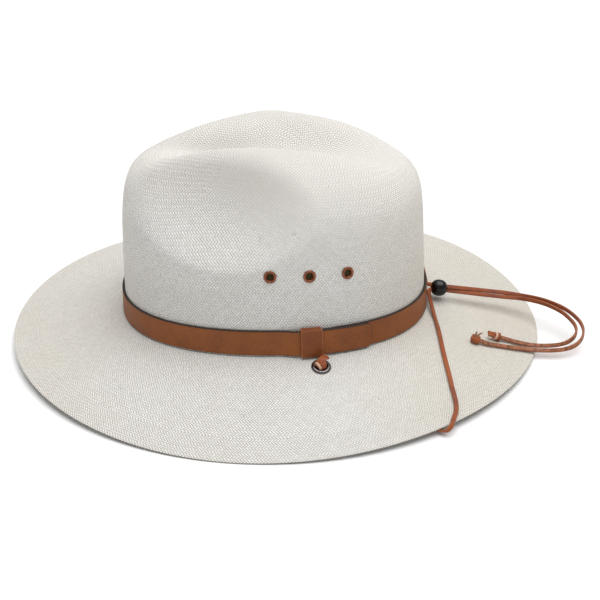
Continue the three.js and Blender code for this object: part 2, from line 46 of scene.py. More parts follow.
# ---------------------------------------------------------------- the design's sizes, in mm over the mean base line
STRAW = 1.1
CROWN_A, CROWN_B, BASE_RISE, CROWN_H = 104.0, 86.5, 4.8, 124.56
EXP_FRONT, EXP_SIDE, EXP_REAR = 5.95, 3.195, 9.02
TAPER_Y, TAPER_X = 0.052, 0.12
RIDGE = [0.036, 0.222, 0.028, 0.066, 0.0, -0.224]
DENT = dict(depth=22.0, half_width=21.0, half_length=70.0)
PINCH = dict(depth=25.0, y=-33.0, z=91.0, half_length=63.0, half_height=34.0, edge=1.6)
BRIM_A, BRIM_B = 182.25, 161.58
EDGE = [-20.016, 1.059, 1.373, 1.571, -1.161]
BRIM_BULGE, FILLET_DROP, FILLET_OUT = 1.5, 1.1, 1.2
BAND_H, BAND_T, BAND_GAP, LAYER_GAP = 17.2, 1.5, 0.3, 0.25
KEEPER_T, KEEPER_W, KEEPER_Y, TONGUE_Y, UNDER_Y = 0.7, 15.0, 24.4, 62.0, 20.0
VENTS = [(-0.2, 57.0), (24.0, 55.8), (47.7, 54.0)]
GROMMET_XY = (94.7, 30.7)
SWEAT_H, SWEAT_T, REED_R = 32.0, 0.9, 0.8
LACE_R, LACE_APART = 1.1, 1.6
BEAD = dict(x=-1.0, y=114.7, z=1.78, r=5.75, slope=-0.14, roll=40.0)
KNOT_R = 3.3

lo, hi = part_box("cord_bead")
LIFT = (lo[2] + hi[2]) * 500 - BEAD["z"]  # height of the mean base line over the surface that the hat stands on


def metres(points):
    p = np.array(points, dtype=float).reshape(-1, 3)
    return (p + [0, 0, LIFT]) / 1000


# ---------------------------------------------------------------- camera, at the photo's viewing angle
EL, AZ, ROLL, DIST, FOCAL, U0, V0 = math.radians(29.916), math.radians(91.705), math.radians(-1.513), 800.0, 1145.351, 274.622, 292.452
R = np.array([math.cos(AZ), math.sin(AZ), 0])
B = np.array([math.sin(AZ) * math.cos(EL), -math.cos(AZ) * math.cos(EL), math.sin(EL)])
U = np.cross(B, R)
R2, U2 = math.cos(ROLL) * R + math.sin(ROLL) * U, -math.sin(ROLL) * R + math.cos(ROLL) * U
cam_data = bpy.data.cameras.new("camera")
camera = bpy.data.objects.new("camera", cam_data)
scene.collection.objects.link(camera)
cam_data.sensor_width = 36
cam_data.lens = FOCAL * 36 / 600
cam_data.shift_x, cam_data.shift_y = (300 - U0) / 600, (V0 - 300) / 600
cam_data.clip_start, cam_data.clip_end = 0.01, 20
place = metres(B * DIST)[0]
m = Matrix.Identity(4)
for i in range(3):
    m[i][0], m[i][1], m[i][2], m[i][3] = R2[i], U2[i], B[i], place[i]
camera.matrix_world = m
scene.camera = camera


# ---------------------------------------------------------------- surfaces
def smooth(t):
    t = np.clip(t, 0, 1)
    return t * t * (3 - 2 * t)


def base_z(phi):
    return -BASE_RISE * np.cos(2 * phi)


def exponent(phi):
    c = np.cos(phi)
    w = c ** 4
    return np.where(c > 0, EXP_FRONT, EXP_REAR) * w + EXP_SIDE * (1 - w)


def crown(phi, rho, zeta):
    s, c = np.sin(phi), np.cos(phi)
    x = CROWN_B * (1 - TAPER_X * zeta) * rho * s
    y = -CROWN_A * (1 - TAPER_Y * zeta) * rho * c
    q = y / CROWN_A
    fall = sum(k * q ** (i + 1) for i, k in enumerate(RIDGE))
    z = CROWN_H * zeta * (1 - fall) + base_z(phi) * (1 - zeta)
    z = z - DENT["depth"] * np.exp(-((np.abs(x) / DENT["half_width"]) ** 2.4)) * np.exp(-((y / DENT["half_length"]) ** 4)) * smooth(zeta * 2 - 0.6)
    e = ((y - PINCH["y"]) / PINCH["half_length"]) ** 2 + ((z - PINCH["z"]) / PINCH["half_height"]) ** 2
    b = np.clip(1 - e, 0, None) ** PINCH["edge"] * smooth((np.abs(x) - 4) / 34)
    x = x - np.sign(x) * PINCH["depth"] * b
    return np.stack(np.broadcast_arrays(x, y, z), -1)


def at_angle(phi, alpha):
    n = exponent(phi)
    ca, sa = np.cos(alpha), np.sin(alpha)
    r = (np.abs(ca) ** n + np.abs(sa) ** n) ** (-1 / n)
    return crown(phi, r * ca, r * sa)


def at_zeta(phi, zeta):
    n = exponent(phi)
    return crown(phi, (1 - zeta ** n) ** (1 / n), zeta)


def plan(phi):
    v = np.stack(np.broadcast_arrays(CROWN_A * np.sin(phi), -CROWN_B * np.cos(phi), 0.0 * phi), -1)
    return v / np.linalg.norm(v, axis=-1, keepdims=True)


def wall(phi, h):
    phi, h = np.broadcast_arrays(np.asarray(phi, float), np.asarray(h, float))
    p = at_zeta(phi, np.clip(h, 0, None) / CROWN_H)
    p[..., 2] = base_z(phi) + h
    return p


def brim(phi, r):
    phi, r = np.broadcast_arrays(np.asarray(phi, float), np.asarray(r, float))
    s, c = np.sin(phi), np.cos(phi)
    edge = sum(k * np.cos(i * phi) for i, k in enumerate(EDGE))
    z0 = base_z(phi) - FILLET_DROP
    return np.stack([(CROWN_B + FILLET_OUT + (BRIM_B - CROWN_B - FILLET_OUT) * r) * s,
                     -(CROWN_A + FILLET_OUT + (BRIM_A - CROWN_A - FILLET_OUT) * r) * c,
                     z0 + (edge - z0) * r + BRIM_BULGE * 4 * r * (1 - r)], -1)


def brim_z(x, y):
    lo, hi = 0.0, 1.0
    for _ in range(40):
        r = (lo + hi) / 2
        b = CROWN_B + FILLET_OUT + (BRIM_B - CROWN_B - FILLET_OUT) * r
        a = CROWN_A + FILLET_OUT + (BRIM_A - CROWN_A - FILLET_OUT) * r
        if (x / b) ** 2 + (y / a) ** 2 > 1:
            lo = r
        else:
            hi = r
    b = CROWN_B + FILLET_OUT + (BRIM_B - CROWN_B - FILLET_OUT) * lo
    a = CROWN_A + FILLET_OUT + (BRIM_A - CROWN_A - FILLET_OUT) * lo
    return float(brim(math.atan2(x / b, -y / a), lo)[2])


def unit(v):
    v = np.asarray(v, float)
    return v / np.linalg.norm(v, axis=-1, keepdims=True)


def brim_normal(x, y):
    h = 0.5
    return unit([(brim_z(x - h, y) - brim_z(x + h, y)) / (2 * h), (brim_z(x, y - h) - brim_z(x, y + h)) / (2 * h), 1])


# ---------------------------------------------------------------- mesh helpers
def make(name, points, faces, smooth_faces=True, uv=None, floats=None):
    """An object from points in mm over the base line. uv is one pair for each face corner, floats {name: one number for each point}."""
    me = bpy.data.meshes.new(name)
    me.from_pydata([tuple(p) for p in metres(points)], [], [tuple(int(i) for i in f) for f in faces])
    if uv is not None:
        layer = me.uv_layers.new(name="weave")
        layer.data.foreach_set("uv", np.asarray(uv, dtype=np.float32).reshape(-1))
    for key, values in (floats or {}).items():
        a = me.attributes.new(key, "FLOAT", "POINT")
        a.data.foreach_set("value", np.asarray(values, dtype=np.float32))
    if smooth_faces:
        me.polygons.foreach_set("use_smooth", [True] * len(me.polygons))
    me.update()
    o = bpy.data.objects.new(name, me)
    scene.collection.objects.link(o)
    return o


def grid_faces(nr, nc, close_rows=False, close_cols=True):
    """Quads of a grid of nr rows of nc points."""
    out = []
    for j in range(nr if close_rows else nr - 1):
        for i in range(nc if close_cols else nc - 1):
            k, l = (i + 1) % nc, (j + 1) % nr
            out.append((j * nc + i, j * nc + k, l * nc + k, l * nc + i))
    return out


def outwards(points, faces):
    """The faces, turned round if the closed mesh is inside out."""
    p = np.asarray(points, float)
    v = 0.0
    for f in faces:
        for i in range(1, len(f) - 1):
            v += float(np.dot(p[f[0]], np.cross(p[f[i]], p[f[i + 1]])))
    return faces if v > 0 else [tuple(reversed(f)) for f in faces]


def catmull(stops, count):
    """A centripetal line through the stops, resampled evenly."""
    P = np.asarray(stops, float)
    n = len(P)
    out = []
    for s in np.linspace(0, n - 1, 4000):
        i = min(int(s), n - 2)
        t = s - i
        p1, p2 = P[i], P[i + 1]
        p0 = P[i - 1] if i else 2 * P[0] - P[1]
        p3 = P[i + 2] if i + 2 < n else 2 * P[-1] - P[-2]
        d0, d1, d2 = (max(1e-4, np.linalg.norm(a - b) ** 0.5) for a, b in ((p0, p1), (p1, p2), (p2, p3)))
        t1 = ((p1 - p0) / d0 - (p2 - p0) / (d0 + d1) + (p2 - p1) / d1) * d1
        t2 = ((p2 - p1) / d1 - (p3 - p1) / (d1 + d2) + (p3 - p2) / d2) * d1
        out.append((2 * t ** 3 - 3 * t ** 2 + 1) * p1 + (t ** 3 - 2 * t ** 2 + t) * t1 + (-2 * t ** 3 + 3 * t ** 2) * p2 + (t ** 3 - t ** 2) * t2)
    out = np.array(out)
    run = np.concatenate([[0], np.cumsum(np.linalg.norm(np.diff(out, axis=0), axis=1))])
    even = np.linspace(0, run[-1], count)
    line = np.stack([np.interp(even, run, out[:, k]) for k in range(3)], 1)
    key = np.linspace(0, 3999, n)  # where each stop lies along the line
    return line, np.interp(key, np.arange(4000), run) / run[-1], run[-1]


def lace_section(width, thick, n_side=3, n_round=4):
    """A flat strip's section: (across, through, edge share), going round. Across is its width."""
    w, t = width / 2, thick / 2
    r = t * 0.55
    pts = []
    for cx, cy, a0 in ((w - r, t - r, 0), (-(w - r), t - r, 90), (-(w - r), -(t - r), 180), (w - r, -(t - r), 270)):
        for k in range(n_round):
            a = math.radians(a0 + 90 * k / (n_round - 1))
            pts.append((cx + r * math.cos(a), cy + r * math.sin(a)))
    return [(x, y, 1.0 if abs(x) > w - r * 0.75 else 0.0) for x, y in pts]


def strip_data(line, normals, width=2.8, thick=1.6, wobble=0.0, seed=1, pale=0.0, closed=False, taper=None):
    """A flat lace along a line of points, with its thin direction along the normals: points, faces, uv and marks."""
    line = np.asarray(line, float)
    T = unit(np.gradient(line, axis=0)) if not closed else unit(np.roll(line, -1, axis=0) - np.roll(line, 1, axis=0))
    N = np.asarray(normals, float)
    N = unit(N - (N * T).sum(1, keepdims=True) * T)
    S = np.cross(T, N)
    rng = np.random.default_rng(seed)
    sec = lace_section(width, thick)
    run = np.concatenate([[0], np.cumsum(np.linalg.norm(np.diff(line, axis=0), axis=1))])
    wave = 1 + wobble * np.interp(run, np.linspace(0, run[-1], max(4, int(run[-1] / 9))), rng.uniform(-1, 1, max(4, int(run[-1] / 9))))
    if taper is not None:
        wave = wave * np.interp(run / run[-1], [0, 1], taper)
    pts, edge, flesh = [], [], []
    for p, s, n, w in zip(line, S, N, wave):
        for x, y, e in sec:
            pts.append(p + s * x * w + n * y * (w if taper is not None else 1))
            edge.append(e)
            flesh.append(1.0 if y > thick * 0.2 else 0.0)
    k = len(sec)
    faces = grid_faces(len(line), k, close_rows=closed)
    if not closed:
        faces += [tuple(range(k)), tuple((len(line) - 1) * k + i for i in reversed(range(k)))]
    faces = outwards(np.array(pts) - line[0], faces)
    uv = []
    for f in faces:
        for i in f:
            uv.append((run[i // k] / 1000, sec[i % k][0] / 1000))
    edge = np.array(edge)
    if not closed:
        edge[:k] = 1
        edge[-k:] = 1
    return pts, faces, uv, {"edge": edge, "flesh": np.array(flesh), "pale": np.full(len(pts), pale)}


def strip(name, line, normals, **how):
    pts, faces, uv, marks = strip_data(line, normals, **how)
    return make(name, pts, faces, uv=uv, floats=marks)


def bundle(name, parts):
    """Several strips as one object."""
    pts, faces, uv, marks = [], [], [], {}
    for p, f, u, m in parts:
        n = len(pts)
        pts += list(p)
        faces += [tuple(i + n for i in q) for q in f]
        uv += u
        for k, v in m.items():
            marks.setdefault(k, []).extend(v)
    return make(name, pts, faces, uv=uv, floats=marks)


def lathe(name, profile, segments, place, normal, spin=0.0):
    """A closed ring from a profile of (radius, height), its axis along the normal at a place."""
    prof = np.asarray(profile, float)
    q = Vector((0, 0, 1)).rotation_difference(Vector(tuple(normal))).to_matrix()
    M = np.array(q)
    pts = []
    for i in range(segments):
        a = TAU * i / segments + spin
        for r, z in prof:
            pts.append(M @ np.array([r * math.cos(a), r * math.sin(a), z]) + place)
    faces = outwards(np.array(pts) - place, grid_faces(segments, len(prof), close_rows=True))
    return make(name, pts, faces)


def rounded(points, r, n=3):
    """A closed outline in 2-D with each corner cut by a small round."""
    P = [np.array(p, float) for p in points]
    out = []
    for i, p in enumerate(P):
        a, b = P[i - 1] - p, P[(i + 1) % len(P)] - p
        d = min(r, 0.45 * np.linalg.norm(a), 0.45 * np.linalg.norm(b))
        p0, p1 = p + unit(a) * d, p + unit(b) * d
        for k in range(n + 1):
            t = k / n
            out.append((1 - t) ** 2 * p0 + 2 * t * (1 - t) * p + t * t * p1)
    return out


# ---------------------------------------------------------------- chin cord: the route of part.mjs
def V(x, y, z):
    return np.array([x, y, z], float)


def on_brim(x, y, lift=LACE_R + 0.35):
    return V(x, y, brim_z(x, y) + lift)


def under_brim(x, y, drop=STRAW + LACE_R + 0.6):
    return V(x, y, brim_z(x, y) - drop)


def axis_z(y):
    return BEAD["z"] + BEAD["slope"] * (y - BEAD["y"])


def hole_at(y, z):
    phi, zeta = math.acos(-y / CROWN_A), z / CROWN_H
    for _ in range(30):
        n = float(exponent(phi))
        rho, q = (1 - zeta ** n) ** (1 / n), y / CROWN_A
        fall = sum(k * q ** (i + 1) for i, k in enumerate(RIDGE))
        zeta = (z - float(base_z(phi)) * (1 - zeta)) / (CROWN_H * (1 - fall))
        phi = math.acos(-y / (CROWN_A * (1 - TAPER_Y * zeta) * rho))
    p = at_zeta(phi, zeta)
    n = unit(np.cross(at_zeta(phi + 0.01, zeta) - at_zeta(phi - 0.01, zeta), at_zeta(phi, zeta + 0.01) - at_zeta(phi, zeta - 0.01)))
    return p, (n if n[0] > 0 else -n)


SIDES = [("left", 1), ("right", -1)]
mirror = lambda v, sign: V(sign * v[0], v[1], v[2])
gx, gy = GROMMET_XY
grommets = {side: (V(sign * gx, gy, brim_z(gx, gy)), mirror(brim_normal(gx, gy), sign)) for side, sign in SIDES}
vents = {f"{side}_{where}": tuple(mirror(v, sign) for v in hole_at(*VENTS[i]))
         for side, sign in SIDES for i, where in enumerate(("front", "middle", "rear"))}

knot_lift = KNOT_R * 0.8 + 0.35
tails = {
    "left": (on_brim(42.1, 148.4, knot_lift), [V(1.0, 170.6, -6.4), V(3.0, 178.2, -6.9), V(6.2, 185.4, -7.4), V(11.2, 192.1, -8.0), V(17, 197.3, -8.7), V(24, 201.1, -9.7),
             V(30.2, 203.3, -10.9), V(35.4, 203.3, -12.3), V(39.6, 201.3, -13.9), V(42.6, 197.9, -15.2), V(44.4, 193.9, -16.2), V(45.2, 188.7, -17.0), V(44.6, 179.3, -17.8),
             on_brim(43.4, 172.1, 2.6), on_brim(43.1, 164.6, 2.2), on_brim(42.3, 158, 2.0)]),
    "right": (on_brim(50.3, 133.5, knot_lift), [V(-1.7, 171.2, -5.4), V(-0.2, 178.7, -6.2), V(2.6, 185.9, -6.7), V(7, 192.9, -7.3), V(13, 199.4, -8.0), V(20, 204.1, -8.9),
              V(27.5, 207.2, -10.0), V(34.6, 208.0, -11.5), V(40.4, 206.6, -13.4), V(45, 203.3, -15.3), V(48, 198.4, -16.8), V(49.4, 193, -17.7), V(49.8, 185.7, -18.2), V(49.2, 178.5, -18.5),
              on_brim(48.7, 171.1, 2.2), on_brim(49.6, 163.6, 1.9), on_brim(50.5, 155.3, 1.7), on_brim(51.1, 148.1, 1.7), on_brim(51.4, 141.5, 1.9)]),
}
strands = {
    "left": [(126, 111.0), (120.1, 112.9), (113.3, 113.2), (101.7, 112.2), (86.5, 111.2), (66.7, 110.1), (43.8, 109.7), (29, 109.0)],
    "right": [(120.5, 106.6), (104.5, 107.0), (90, 106.8), (77.3, 106.6), (65.6, 106.5), (53, 106.5), (40.8, 107.2), (29, 107.6)],
}
lace_ends = {}
laces, knots = {}, {}
for side, sign in SIDES:
    p, n = grommets[side]
    far = side == "right"
    ex, ey = (136.2, 94.6) if far else (131.0, 99.0)
    ez = brim_z(ex, ey)
    out = unit([ex / BRIM_B ** 2, ey / BRIM_A ** 2, 0])
    g = V(gx, gy, 0)
    run = V(ex, ey, 0) - g
    dirn = unit(run)
    ms = lambda v: mirror(v, sign)
    stops, refs = [], []

    def stop(v, ref):
        stops.append(v)
        refs.append(unit(ref))

    down = -n
    for d in (1.1, -0.8, -3.4):
        stop(p + n * d, ms(dirn))
    for d, drop in ((1.3, 5.2), (4.5, 6.1)):
        stop(ms(under_brim(gx + dirn[0] * d, gy + dirn[1] * d, drop)), ms(dirn * (0.7 if d < 2 else 0.15)) + V(0, 0, 0.7))
    for t in (0.14, 0.3, 0.5, 0.7, 0.86, 0.95):
        stop(ms(under_brim(gx + run[0] * t, gy + run[1] * t, 5.4 if t < 0.2 else STRAW + LACE_R + 0.6)), V(0, 0, 1))
    if far:
        stop(ms(V(ex, ey, ez - STRAW - LACE_R - 0.55) + out * 0.8), ms(V(0, 0, 1) - out * 0.3))
        stop(ms(V(ex, ey, ez - 1.9) + out * 3.1), ms(-out + V(0, 0, 0.4)))
        stop(ms(V(ex, ey, ez + 0.3) + out * 3.3), ms(-out - V(0, 0, 0.3)))
        stop(ms(V(ex - 2.2, ey + 4.0, ez + 2.2) + out * 1.6), ms(-out * 0.5 - V(0, 0, 1)))
        stop(ms(on_brim(ex - 6.9, ey + 8.6, LACE_R + 0.9)), V(0, 0, -1))
    else:
        for v, r in ((V(132.6, 101.8, -21.0), V(0, 0, 1) - out * 0.4), (V(134.4, 104.4, -20.6), -out + V(0, 0, 0.5)), (V(135.0, 106.5, -19.0), -out - V(0, 0, 0.4)),
                     (V(133.3, 108.4, -17.1), -out * 0.5 - V(0, 0, 1)), (V(129.9, 109.9, -15.9), V(0, 0, -1))):
            stop(v, r)
    for k, (x, y) in enumerate(strands[side]):
        stop(ms(on_brim(x, y)), V(0, 0, -1) if k < 6 else V(0, -0.5 * (k - 5), -1))
    # through the bead the two lie side by side on a slant, flesh side down and away
    roll = math.radians(BEAD["roll"])
    x0, dz = BEAD["x"] + sign * LACE_APART * math.cos(roll), -sign * LACE_APART * math.sin(roll)
    slant = V(-math.sin(roll), 0, -math.cos(roll))
    at = lambda y: V(x0, y, axis_z(y) + dz)
    meet = ([V(-18, 107.2, -2.6), V(-10.5, 106.9, 0.2), V(-6.8, 106.8, 2.0), V(-4.6, 107.1, 3.0), V(-2.95, 108.2, 3.45), at(110.2)] if far else
            [V(18, 107.9, -2.6), V(9, 107.2, -0.6), V(4.7, 106.9, 0.5), V(2.4, 107.1, 1.1), V(0.8, 108.1, 1.4), at(110.2)])
    meet_refs = ([V(0, -0.6, -1), V(0, -0.3, -1), V(-0.2, -0.2, -1), V(-0.4, 0, -1), slant, slant] if far else
                 [V(0, -0.6, -1), V(0, -0.8, -0.8), V(-0.3, -0.7, -0.8), V(-0.5, -0.4, -0.8), slant, slant])
    for v, r in zip(meet, meet_refs):
        stop(v, r)
    # on the way out one lies a little over the other, and they part further on
    e = V(math.cos(roll), 0, -math.sin(roll))
    for y in (112.5, 116, 122, 130, 140, 150, 160):
        q = float(smooth((y - 116) / 32))
        stop(at(y) - sign * e * 0.5 * (1 - q) + sign * slant * 0.75 * (1 - q), slant)
    knot, path = tails[side]
    # along the loop the lace turns up onto its edge, flesh side inwards, and lies down again on the brim
    P = np.array([stops[-1]] + list(path) + [knot])
    run_in = np.concatenate([[0], np.cumsum(np.linalg.norm(np.diff(P, axis=0), axis=1))])
    for k, v in enumerate(path):
        t = unit(P[k + 2] - P[k])
        level = -unit(np.cross(t, V(0, 0, 1)))
        d = run_in[k + 1]
        w = float(smooth((d - (76 if far else 62)) / 30))
        down = 0.9 * (1 - float(smooth((d - 6) / 26)))
        stop(v, level * (1 - 0.55 * w) + V(0, 0, 0.8 * w - down))
    last = path[-1]
    to_knot = unit(knot - last)
    end = knot - to_knot * (KNOT_R + 0.35)
    stop(end, level * 0.5 + V(0, 0, 0.8))
    stop(knot - to_knot * 0.6 - V(0, 0, 0.3), level * 0.4 + V(0, 0, 0.9))
    line, key, length = catmull(stops, 420)
    refs = np.array(refs)
    s = np.linspace(0, 1, len(line))
    normals = np.stack([np.interp(s, key, refs[:, k]) for k in range(3)], 1)
    kernel = np.ones(7) / 7
    normals = np.stack([np.convolve(np.pad(normals[:, k], 3, mode="edge"), kernel, "valid") for k in range(3)], 1)
    laces[side] = strip(f"lace_{side}", line, normals, wobble=0.025, seed=3 + far)
    lace_ends[side] = (line, length, end, to_knot)


# ---------------------------------------------------------------- knots, tied in the same flat lace
def turn(M, place, radius, along, width, thick, lean, sway, pale=0.0, squash=0.86, seed=1):
    """One turn of the lace round the knot's axis (the frame's x), leaning over by so many degrees."""
    t = np.arange(44) * TAU / 44
    c, s = np.cos(t), np.sin(t)
    ring = np.stack([along + np.tan(math.radians(lean)) * radius * s + np.tan(math.radians(sway)) * radius * c, radius * c, radius * squash * s], 1)
    inward = np.stack([0 * t, -c, -s / squash], 1)
    return strip_data(ring @ M.T + place, inward @ M.T, width, thick, wobble=0.05, seed=seed, pale=pale, closed=True)


def run_of(M, place, stops, normals, width, thick, pale=0.0, seed=1, count=24, taper=None):
    line, key, _ = catmull(stops, count)
    n = np.array(normals, float)
    s = np.linspace(0, 1, count)
    n = np.stack([np.interp(s, key, n[:, k]) for k in range(3)], 1)
    return strip_data(line @ M.T + place, n @ M.T, width, thick, wobble=0.04, seed=seed, pale=pale, taper=taper)


def knot_frame(x_axis, z_axis):
    x = unit(x_axis)
    z = unit(np.asarray(z_axis, float) - np.dot(z_axis, x) * x)
    return np.stack([x, np.cross(z, x), z], 1)


DOWN = (0, 0, -1)
for side, sign in SIDES:
    p, n = grommets[side]
    line, length, end, to_knot = lace_ends[side]
    # at the grommet: a fat turn over the hole, the cut side of the next turn beside it, and a square end that lies towards the back
    M = knot_frame(V(-sign * 0.45, 1, 0.12), n)
    place = p + n * 2.5 + V(sign * 0.9, -0.3, 0)
    knots[f"brim_knot_{side}"] = bundle(f"tied_knot_brim_{side}", [
        turn(M, place, 2.35, 1.0, 3.4, 1.5, 14, 8, seed=31),
        turn(M, place, 2.2, -1.7, 1.5, 1.3, -14, -10, pale=0.8, seed=32),
        run_of(M, place, [(-2.9, 0.0, 0.2), (-1.4, 0.5, 1.5), (0.8, 1.3, 2.9), (3.2, 2.1, 3.1), (5.6, 2.8, 2.4)], [DOWN] * 5, 4.3, 1.3, seed=33),
        run_of(M, place, [(0.2, -0.2, 0.3), (0.2, -0.2, -1.6), (0.1, 0, -3.4)], [(-1, 0, 0)] * 3, 3.0, 1.5, seed=34, count=10)])
    knot, path = tails[side]
    up = brim_normal(knot[0], knot[1])
    M = knot_frame(to_knot, up + V(0.35, 0, 0))
    parts = [turn(M, knot, 2.15, -1.5, 2.9, 1.5, 12, 6, seed=41), turn(M, knot, 2.3, 0.55 if side == "left" else 0.9, 1.5 if side == "left" else 2.6, 1.4, -12, -8, pale=0.9 if side == "left" else 0.0, seed=42)]
    if side == "left":
        parts.append(run_of(M, knot, [(-3, 0, 0), (-1, 0, 0.2), (1.4, 0, 0.5), (3.6, 0.2, 0.8), (5.9, 0.5, 0.9)], [DOWN] * 5, 4.0, 1.4, seed=43))
    else:
        parts.append(run_of(M, knot, [(-3, 0, 0), (-1, 0, 0.2), (1.2, 0, 0.4), (2.9, 0.1, 0.3)], [DOWN] * 4, 3.2, 1.6, seed=44))
        parts.append(run_of(M, knot, [(0.2, 0.2, 0.8), (-0.2, -0.6, 3.2), (-0.9, -1.0, 5.2), (-1.9, -1.2, 7.0)], [(0, 1, 0)] * 4, 2.2, 1.1, seed=45, pale=0.35, taper=(1, 0.35)))
        parts.append(run_of(M, knot, [(0.6, 0.4, 0.8), (1.0, -0.4, 2.8), (1.5, -0.9, 4.6), (1.6, -1.1, 6.4)], [(0, 1, 0)] * 4, 2.2, 1.1, seed=46, pale=0.25, taper=(1, 0.35)))
    knots[f"tail_knot_{side}"] = bundle(f"tied_knot_tail_{side}", parts)


# ---------------------------------------------------------------- bead
def bead_mesh():
    bx, by, bz, r = BEAD["x"], BEAD["y"] - 0.3, BEAD["z"], BEAD["r"] + 0.12
    w, h = LACE_APART + LACE_R + 0.6, LACE_R + 0.3  # half width and half height of the slot that both laces run through
    tilt = math.atan(BEAD["slope"])
    slot = -math.radians(BEAD["roll"])
    rows, n = 96, 0
    pts = []
    for i in range(rows):
        t = TAU * i / rows
        c, s = math.cos(t), math.sin(t)
        # distance from the axis to the slot's wall this way
        lo, hi = 0.0, 10.0
        for _ in range(40):
            d = (lo + hi) / 2
            x, z = abs(d * math.cos(t - slot)), abs(d * math.sin(t - slot))
            inside = z <= h if x <= w - h else (x - (w - h)) ** 2 + z * z <= h * h
            lo, hi = (d, hi) if inside else (lo, d)
        bore = lo
        prof = []
        for k in range(33):
            a = math.pi * (k / 32)
            rad = 0.985 * r * math.sin(a) ** 0.62
            prof.append((rad, -0.93 * r * math.cos(a)))
        outer = [p for p in prof if p[0] > bore + 0.45]
        y0 = outer[0][1]
        half = [(bore + 0.22, y0 - 0.18), (bore + 0.05, y0 + 0.02), (bore, y0 + 0.3)]
        loop = [(bore, -y0 - 0.3), (bore + 0.05, -y0 - 0.02), (bore + 0.22, -y0 + 0.18)]
        # the same number of points at every turn
        o = np.array(outer)
        run = np.concatenate([[0], np.cumsum(np.linalg.norm(np.diff(o, axis=0), axis=1))])
        e = np.linspace(0, run[-1], 26)
        o = np.stack([np.interp(e, run, o[:, 0]), np.interp(e, run, o[:, 1])], 1)
        ring = [half[2], half[1], half[0]] + [tuple(p) for p in o] + [loop[2], loop[1], loop[0]]
        ring += [(bore, (-y0 - 0.3) * (1 - k / 5) + (y0 + 0.3) * k / 5) for k in range(1, 5)]
        n = len(ring)
        for rad, y in ring:
            x, z = rad * c, rad * s
            pts.append((bx + x, by + y * math.cos(tilt) - z * math.sin(tilt), bz + y * math.sin(tilt) + z * math.cos(tilt)))
    return make("barrel_bead", pts, outwards(pts, grid_faces(rows, n, close_rows=True)))


bead = bead_mesh()

# ---------------------------------------------------------------- straw
COLS = 420
PHI = np.arange(COLS) * TAU / COLS


def even(rows_at, lo, hi, step):
    """Parameters from lo to hi, a step of arc apart on the mean line."""
    t = np.linspace(lo, hi, 240)
    P = np.array([rows_at(v)[::20] for v in t])
    run = np.concatenate([[0], np.cumsum(np.linalg.norm(np.diff(P, axis=0), axis=2).mean(1))])
    return np.interp(np.linspace(0, run[-1], int(run[-1] / step) + 1), run, t)


def straw_mesh():
    rows = []
    for a in even(lambda v: at_angle(PHI, v), math.radians(89.0), math.radians(2.2), 1.7):
        rows.append(at_angle(PHI, a))
    n = np.stack([plan(PHI)[:, 0], plan(PHI)[:, 1], 0 * PHI], 1)
    foot = at_zeta(PHI, 0.0 * PHI)
    rows.append(at_zeta(PHI, 0.0 * PHI + 0.004))
    for a in (20, 45, 70):
        t = math.radians(a)
        rows.append(foot + n * (FILLET_OUT * (1 - math.cos(t))) + np.array([0, 0, -FILLET_DROP * math.sin(t) + 0.0]))
    edge_cut = 0.3 / 77
    for r in even(lambda v: brim(PHI, v + 0 * PHI), 0.0, 1 - edge_cut, 1.7):
        rows.append(brim(PHI, r + 0 * PHI))
    rows = np.array(rows)
    apex = crown(0.0, 0.0, 1.0).reshape(3)
    # normals
    up = np.concatenate([np.broadcast_to(apex, (1, COLS, 3)), rows[:-1]])
    down = np.concatenate([rows[1:], rows[-1:] + (rows[-1:] - rows[-2:-1])])
    across = np.roll(rows, -1, axis=1) - np.roll(rows, 1, axis=1)
    N = unit(np.cross(down - up, across))
    inner = rows - N * STRAW
    # the round edge
    T = unit(rows[-1] - rows[-2])
    edge = [rows[-1] + T * a - N[-1] * b for a, b in ((0.16, 0.03), (0.26, 0.13), (0.3, 0.28), (0.3, STRAW - 0.28), (0.26, STRAW - 0.13), (0.16, STRAW - 0.03))]
    full = np.concatenate([rows, np.array(edge), inner[::-1]])
    ring = np.linalg.norm(np.diff(full, axis=0), axis=2).mean(1)
    first = np.linalg.norm(rows[0] - apex, axis=1).mean()
    v = first + np.concatenate([[0], np.cumsum(ring)])
    nr = len(rows)
    # the inside has the outside's rows, seen from behind
    v[nr + len(edge):] = v[:nr][::-1]
    around = np.linalg.norm(np.roll(full, -1, axis=1) - full, axis=2).sum(1) / TAU
    around[nr + len(edge):] = around[:nr][::-1]
    pts = full.reshape(-1, 3)
    total = len(full)
    faces, uv = [], []
    for j in range(total - 1):
        for i in range(COLS):
            k = (i + 1) % COLS
            faces.append((j * COLS + i, (j + 1) * COLS + i, (j + 1) * COLS + k, j * COLS + k))
            u0, u1 = i / COLS, (i + 1) / COLS
            uv += [(u0, v[j]), (u0, v[j + 1]), (u1, v[j + 1]), (u1, v[j])]
    top, under = len(pts), len(pts) + 1
    pts = np.concatenate([pts, [apex], [apex - [0, 0, STRAW]]])
    last = (total - 1) * COLS
    for i in range(COLS):
        k = (i + 1) % COLS
        u0, u1 = i / COLS, (i + 1) / COLS
        faces.append((top, i, k))
        uv += [((u0 + u1) / 2, 0), (u0, v[0]), (u1, v[0])]
        faces.append((under, last + k, last + i))
        uv += [((u0 + u1) / 2, 0), (u1, v[0]), (u0, v[0])]
    rad = np.concatenate([np.repeat(around, COLS), [0.5, 0.5]])
    # marks the round edge of the brim, which the material paints darker as painted shade
    rim = np.zeros(total)
    rim[nr + 1:nr + len(edge) - 1] = 1
    rim = np.concatenate([np.repeat(rim, COLS), [0, 0]])
    return make("straw_shell", pts, faces, uv=uv, floats={"ring_radius": rad, "rim": rim})


